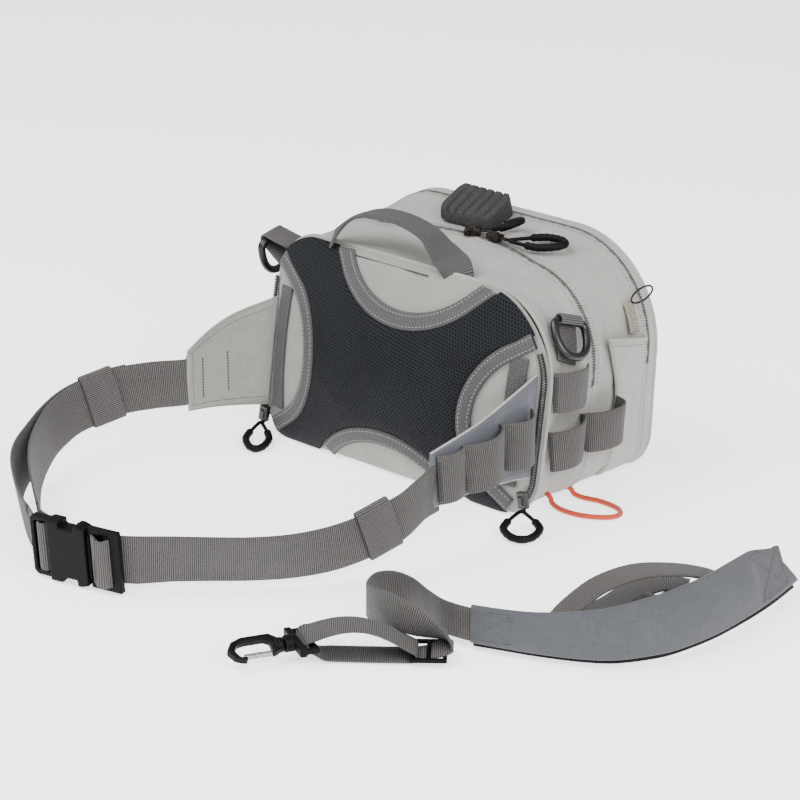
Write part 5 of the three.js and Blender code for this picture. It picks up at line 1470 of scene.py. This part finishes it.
def padRings(offset, drop, thickness, count):
    table = fill(shoulder["pad"], shoulder["steps"])
    rings, frames = [], []
    for i, (x, y, width, thick, lean) in enumerate(table):
        a, b = table[max(i - 1, 0)], table[min(i + 1, len(table) - 1)]
        along = Vector((b[0] - a[0], b[1] - a[1], 0)).normalized()
        c, s = turned(lean)
        tall = up * c + along.cross(up) * s
        face = along.cross(tall)
        centre = Vector((x, y, shoulder["rest"] - 8 * s)) + tall * (width / 2 - drop) + face * offset(thick)
        slant = shoulder["skew"] * ease(max(0, 1 - (len(table) - 1 - i) / 14))
        hoop = []
        for k in range(count):
            out, high = (bent(value, shoulder["square"]) for value in turned(360 * (k + 0.5) / count))
            p = centre + tall * (width / 2 * high) + face * (thickness(thick) / 2 * out)
            hoop.append(p - along * (slant * high))
        rings.append(hoop)
        frames.append((centre, tall, face, width, thick))
    return rings, frames


def inflate(piece, held, fit):  # air behind the cloth pushes it out between its seams
    pins = piece.vertex_groups.new(name="held")
    pins.add(held, 1, "REPLACE")
    puff = piece.modifiers.new("puff", "CLOTH")
    puff.settings.use_pressure = True
    puff.settings.uniform_pressure_force = fit["pressure"]
    puff.settings.mass = fit["mass"]
    puff.settings.tension_stiffness = fit["stretch"]
    puff.settings.compression_stiffness = fit["stretch"]
    puff.settings.shear_stiffness = fit["stretch"]
    puff.settings.vertex_group_mass = "held"
    puff.settings.effector_weights.gravity = 0
    puff.collision_settings.use_collision = False
    puff.point_cache.frame_start, puff.point_cache.frame_end = 1, fit["frames"]
    for number in range(1, fit["frames"] + 1):
        scene.frame_set(number)
    shape = piece.evaluated_get(bpy.context.evaluated_depsgraph_get()).data
    furthest = 0
    moves = [(b.co - a.co) for a, b in zip(piece.data.vertices, shape.vertices)]
    for vertex, move in zip(piece.data.vertices, moves):
        furthest = max(furthest, move.length)
        vertex.co += move * min(1, fit["most"] * mm / max(1e-9, move.length))
    piece.modifiers.remove(puff)
    scene.frame_set(1)
    print(piece.name, "puffed out by", round(furthest / mm, 1), "mm")


def makeShoulder():
    padSides = shoulder["padSides"]
    rings, frames = padRings(lambda thick: 0, 0, lambda thick: thick, padSides)
    far = distances([row[0] for row in frames])

    def place(i, j):
        return far[i], frames[i][3] * 0.5 * turned(360 * (j + 0.5) / padSides)[1]

    piece = gridPiece("shoulder_pad_cloth", rings, place, False, True, True)
    held, puff = [], shoulder["puff"]
    for i, (centre, tall, face, width, thick) in enumerate(frames):
        for j, p in enumerate(rings[i]):
            seam = abs((p - centre).dot(tall)) > width / 2 - puff["seam"]
            if seam or (p - centre).dot(face) < 0 or min(i, len(frames) - 1 - i) < puff["flatRows"]:
                held.append(i * padSides + j)
    inflate(piece, held, puff)
    dress(piece, "slate", "shoulder_pad")
    backing = shoulder["backing"]

    def behind(thick):
        return -thick / 2 - shoulder["gap"] - backing / 2

    rings, _ = padRings(behind, shoulder["drop"], lambda thick: backing, shoulder["backingSides"])
    piece = gridPiece("pad_backing_knit", rings, lambda i, j: (far[i], j * 5.0), False, True, True)
    dress(piece, "backing", "pad_backing")
    for edge in (-1, 1):
        line = []
        for centre, tall, face, width, thick in frames[2:-2]:
            line.append((centre + tall * (edge * (width / 2 - 4.2)) + face * (thick / 2 * 0.83), face))
        stitchLine("greyThread", line, *stitchSizes["pad"])
    for start, stop in ((1, 11), (len(frames) - 13, len(frames) - 3)):  # the sewn boxes at the pad's ends
        def onPad(i, across):
            centre, tall, face, width, thick = frames[round(i)]
            return centre + tall * (across * (width / 2 - 3.4)) + face * (thick / 2 + 0.25), face

        corners = [(start, -1), (stop, -1), (stop, 1), (start, 1)]
        for first, last in ((0, 1), (1, 2), (2, 3), (3, 0), (0, 2), (1, 3)):
            (i, a), (k, b) = corners[first], corners[last]
            line = [onPad(lerp(i, k, n / 10), lerp(a, b, n / 10)) for n in range(11)]
            stitchLine("greyThread", line, *stitchSizes["box"])
    for name in sides:
        table = fill(shoulder[name], 7)
        path, across = [Vector(r[:3]) for r in table], [Vector(r[3:]) for r in table]
        webPiece("strap_" + name, path, across, shoulder["strap"])
        slideX, slideY, hookX, hookY, way, arch = shoulder["ends"][name]
        start, stop = Vector((slideX, slideY, 0)), Vector((hookX, hookY, 0))
        along, length = (stop - start).normalized(), (stop - start).length
        wideA, wideB = up.cross(along), up.cross(Vector(way).normalized())

        def spot(x, z):
            return start + along * x + up * z

        rest, eye, wrap = shoulder["slideRest"], shoulder["eyeHeight"], shoulder["eyeWrap"]
        path = [spot(lerp(3, length - 9, k / 12), 1.4 + 0.6 * (k / 12) ** 3) for k in range(13)]
        path += [spot(length + wrap * c, eye + wrap * s) for c, s in arc(-75, 8.4, 21)]
        for k in range(1, 18):
            u = k / 18
            high = lerp(eye + wrap, rest + 3.6, u) + arch * math.sin(math.pi * u)
            path.append(spot(lerp(length, 0, u), high))
        path += [spot(3.5 * c, rest + 3.5 * s) for c, s in arc(100, 12.3, 13)]
        path = relaxed(evenly(path, 96, True), 2)
        across = [wideA.lerp(wideB, max(0, min(1, (p - start).dot(along) / length))) for p in path]
        webPiece("hook_strap_" + name, path, across, shoulder["strap"], shoulder["hookStrap"], True)
    print("shoulder strap made")


makeShoulder()


def makeThreads():
    for name, (points, faces) in threads.items():
        if faces:
            dress(newPiece("stitches_" + name, points, faces), name)
            print(name, len(faces), "faces")


makeThreads()


# floor and light
def makeStage():
    bpy.ops.mesh.primitive_plane_add(size=stage["floor"], location=(0, 0, -0.0004))
    floor = bpy.context.object
    floor.name = "floor"
    paper = Finish("pale_paper", Specular_IOR_Level=0.1)
    paper.skin.inputs["Base Color"].default_value = (0.9, 0.9, 0.9, 1)
    paper.skin.inputs["Roughness"].default_value = 0.95
    paper.skin.inputs["Emission Color"].default_value = (1, 1, 1, 1)
    paper.skin.inputs["Emission Strength"].default_value = stage["glow"]
    floor.data.materials.append(paper.material)
    world = bpy.data.worlds.new("studio")
    world.use_nodes = True
    sky = world.node_tree.nodes["Background"]
    sky.inputs["Color"].default_value = (1, 1, 1, 1)
    sky.inputs["Strength"].default_value = stage["sky"] * stage["light"]
    scene.world = world
    for name, place, size in (("key", (-0.6, -1.1, 1.9), 1.6), ("fill", (1.7, -0.7, 1.2), 1.4)):
        lamp = bpy.data.lights.new(name, "AREA")
        lamp.size, lamp.energy = size, stage[name] * stage["light"]
        light = bpy.data.objects.new(name, lamp)
        light.location = place
        light.rotation_mode = "QUATERNION"
        light.rotation_quaternion = (Vector((0.05, -0.1, 0.06)) - Vector(place)).to_track_quat("-Z", "Y")
        scene.collection.objects.link(light)


makeStage()
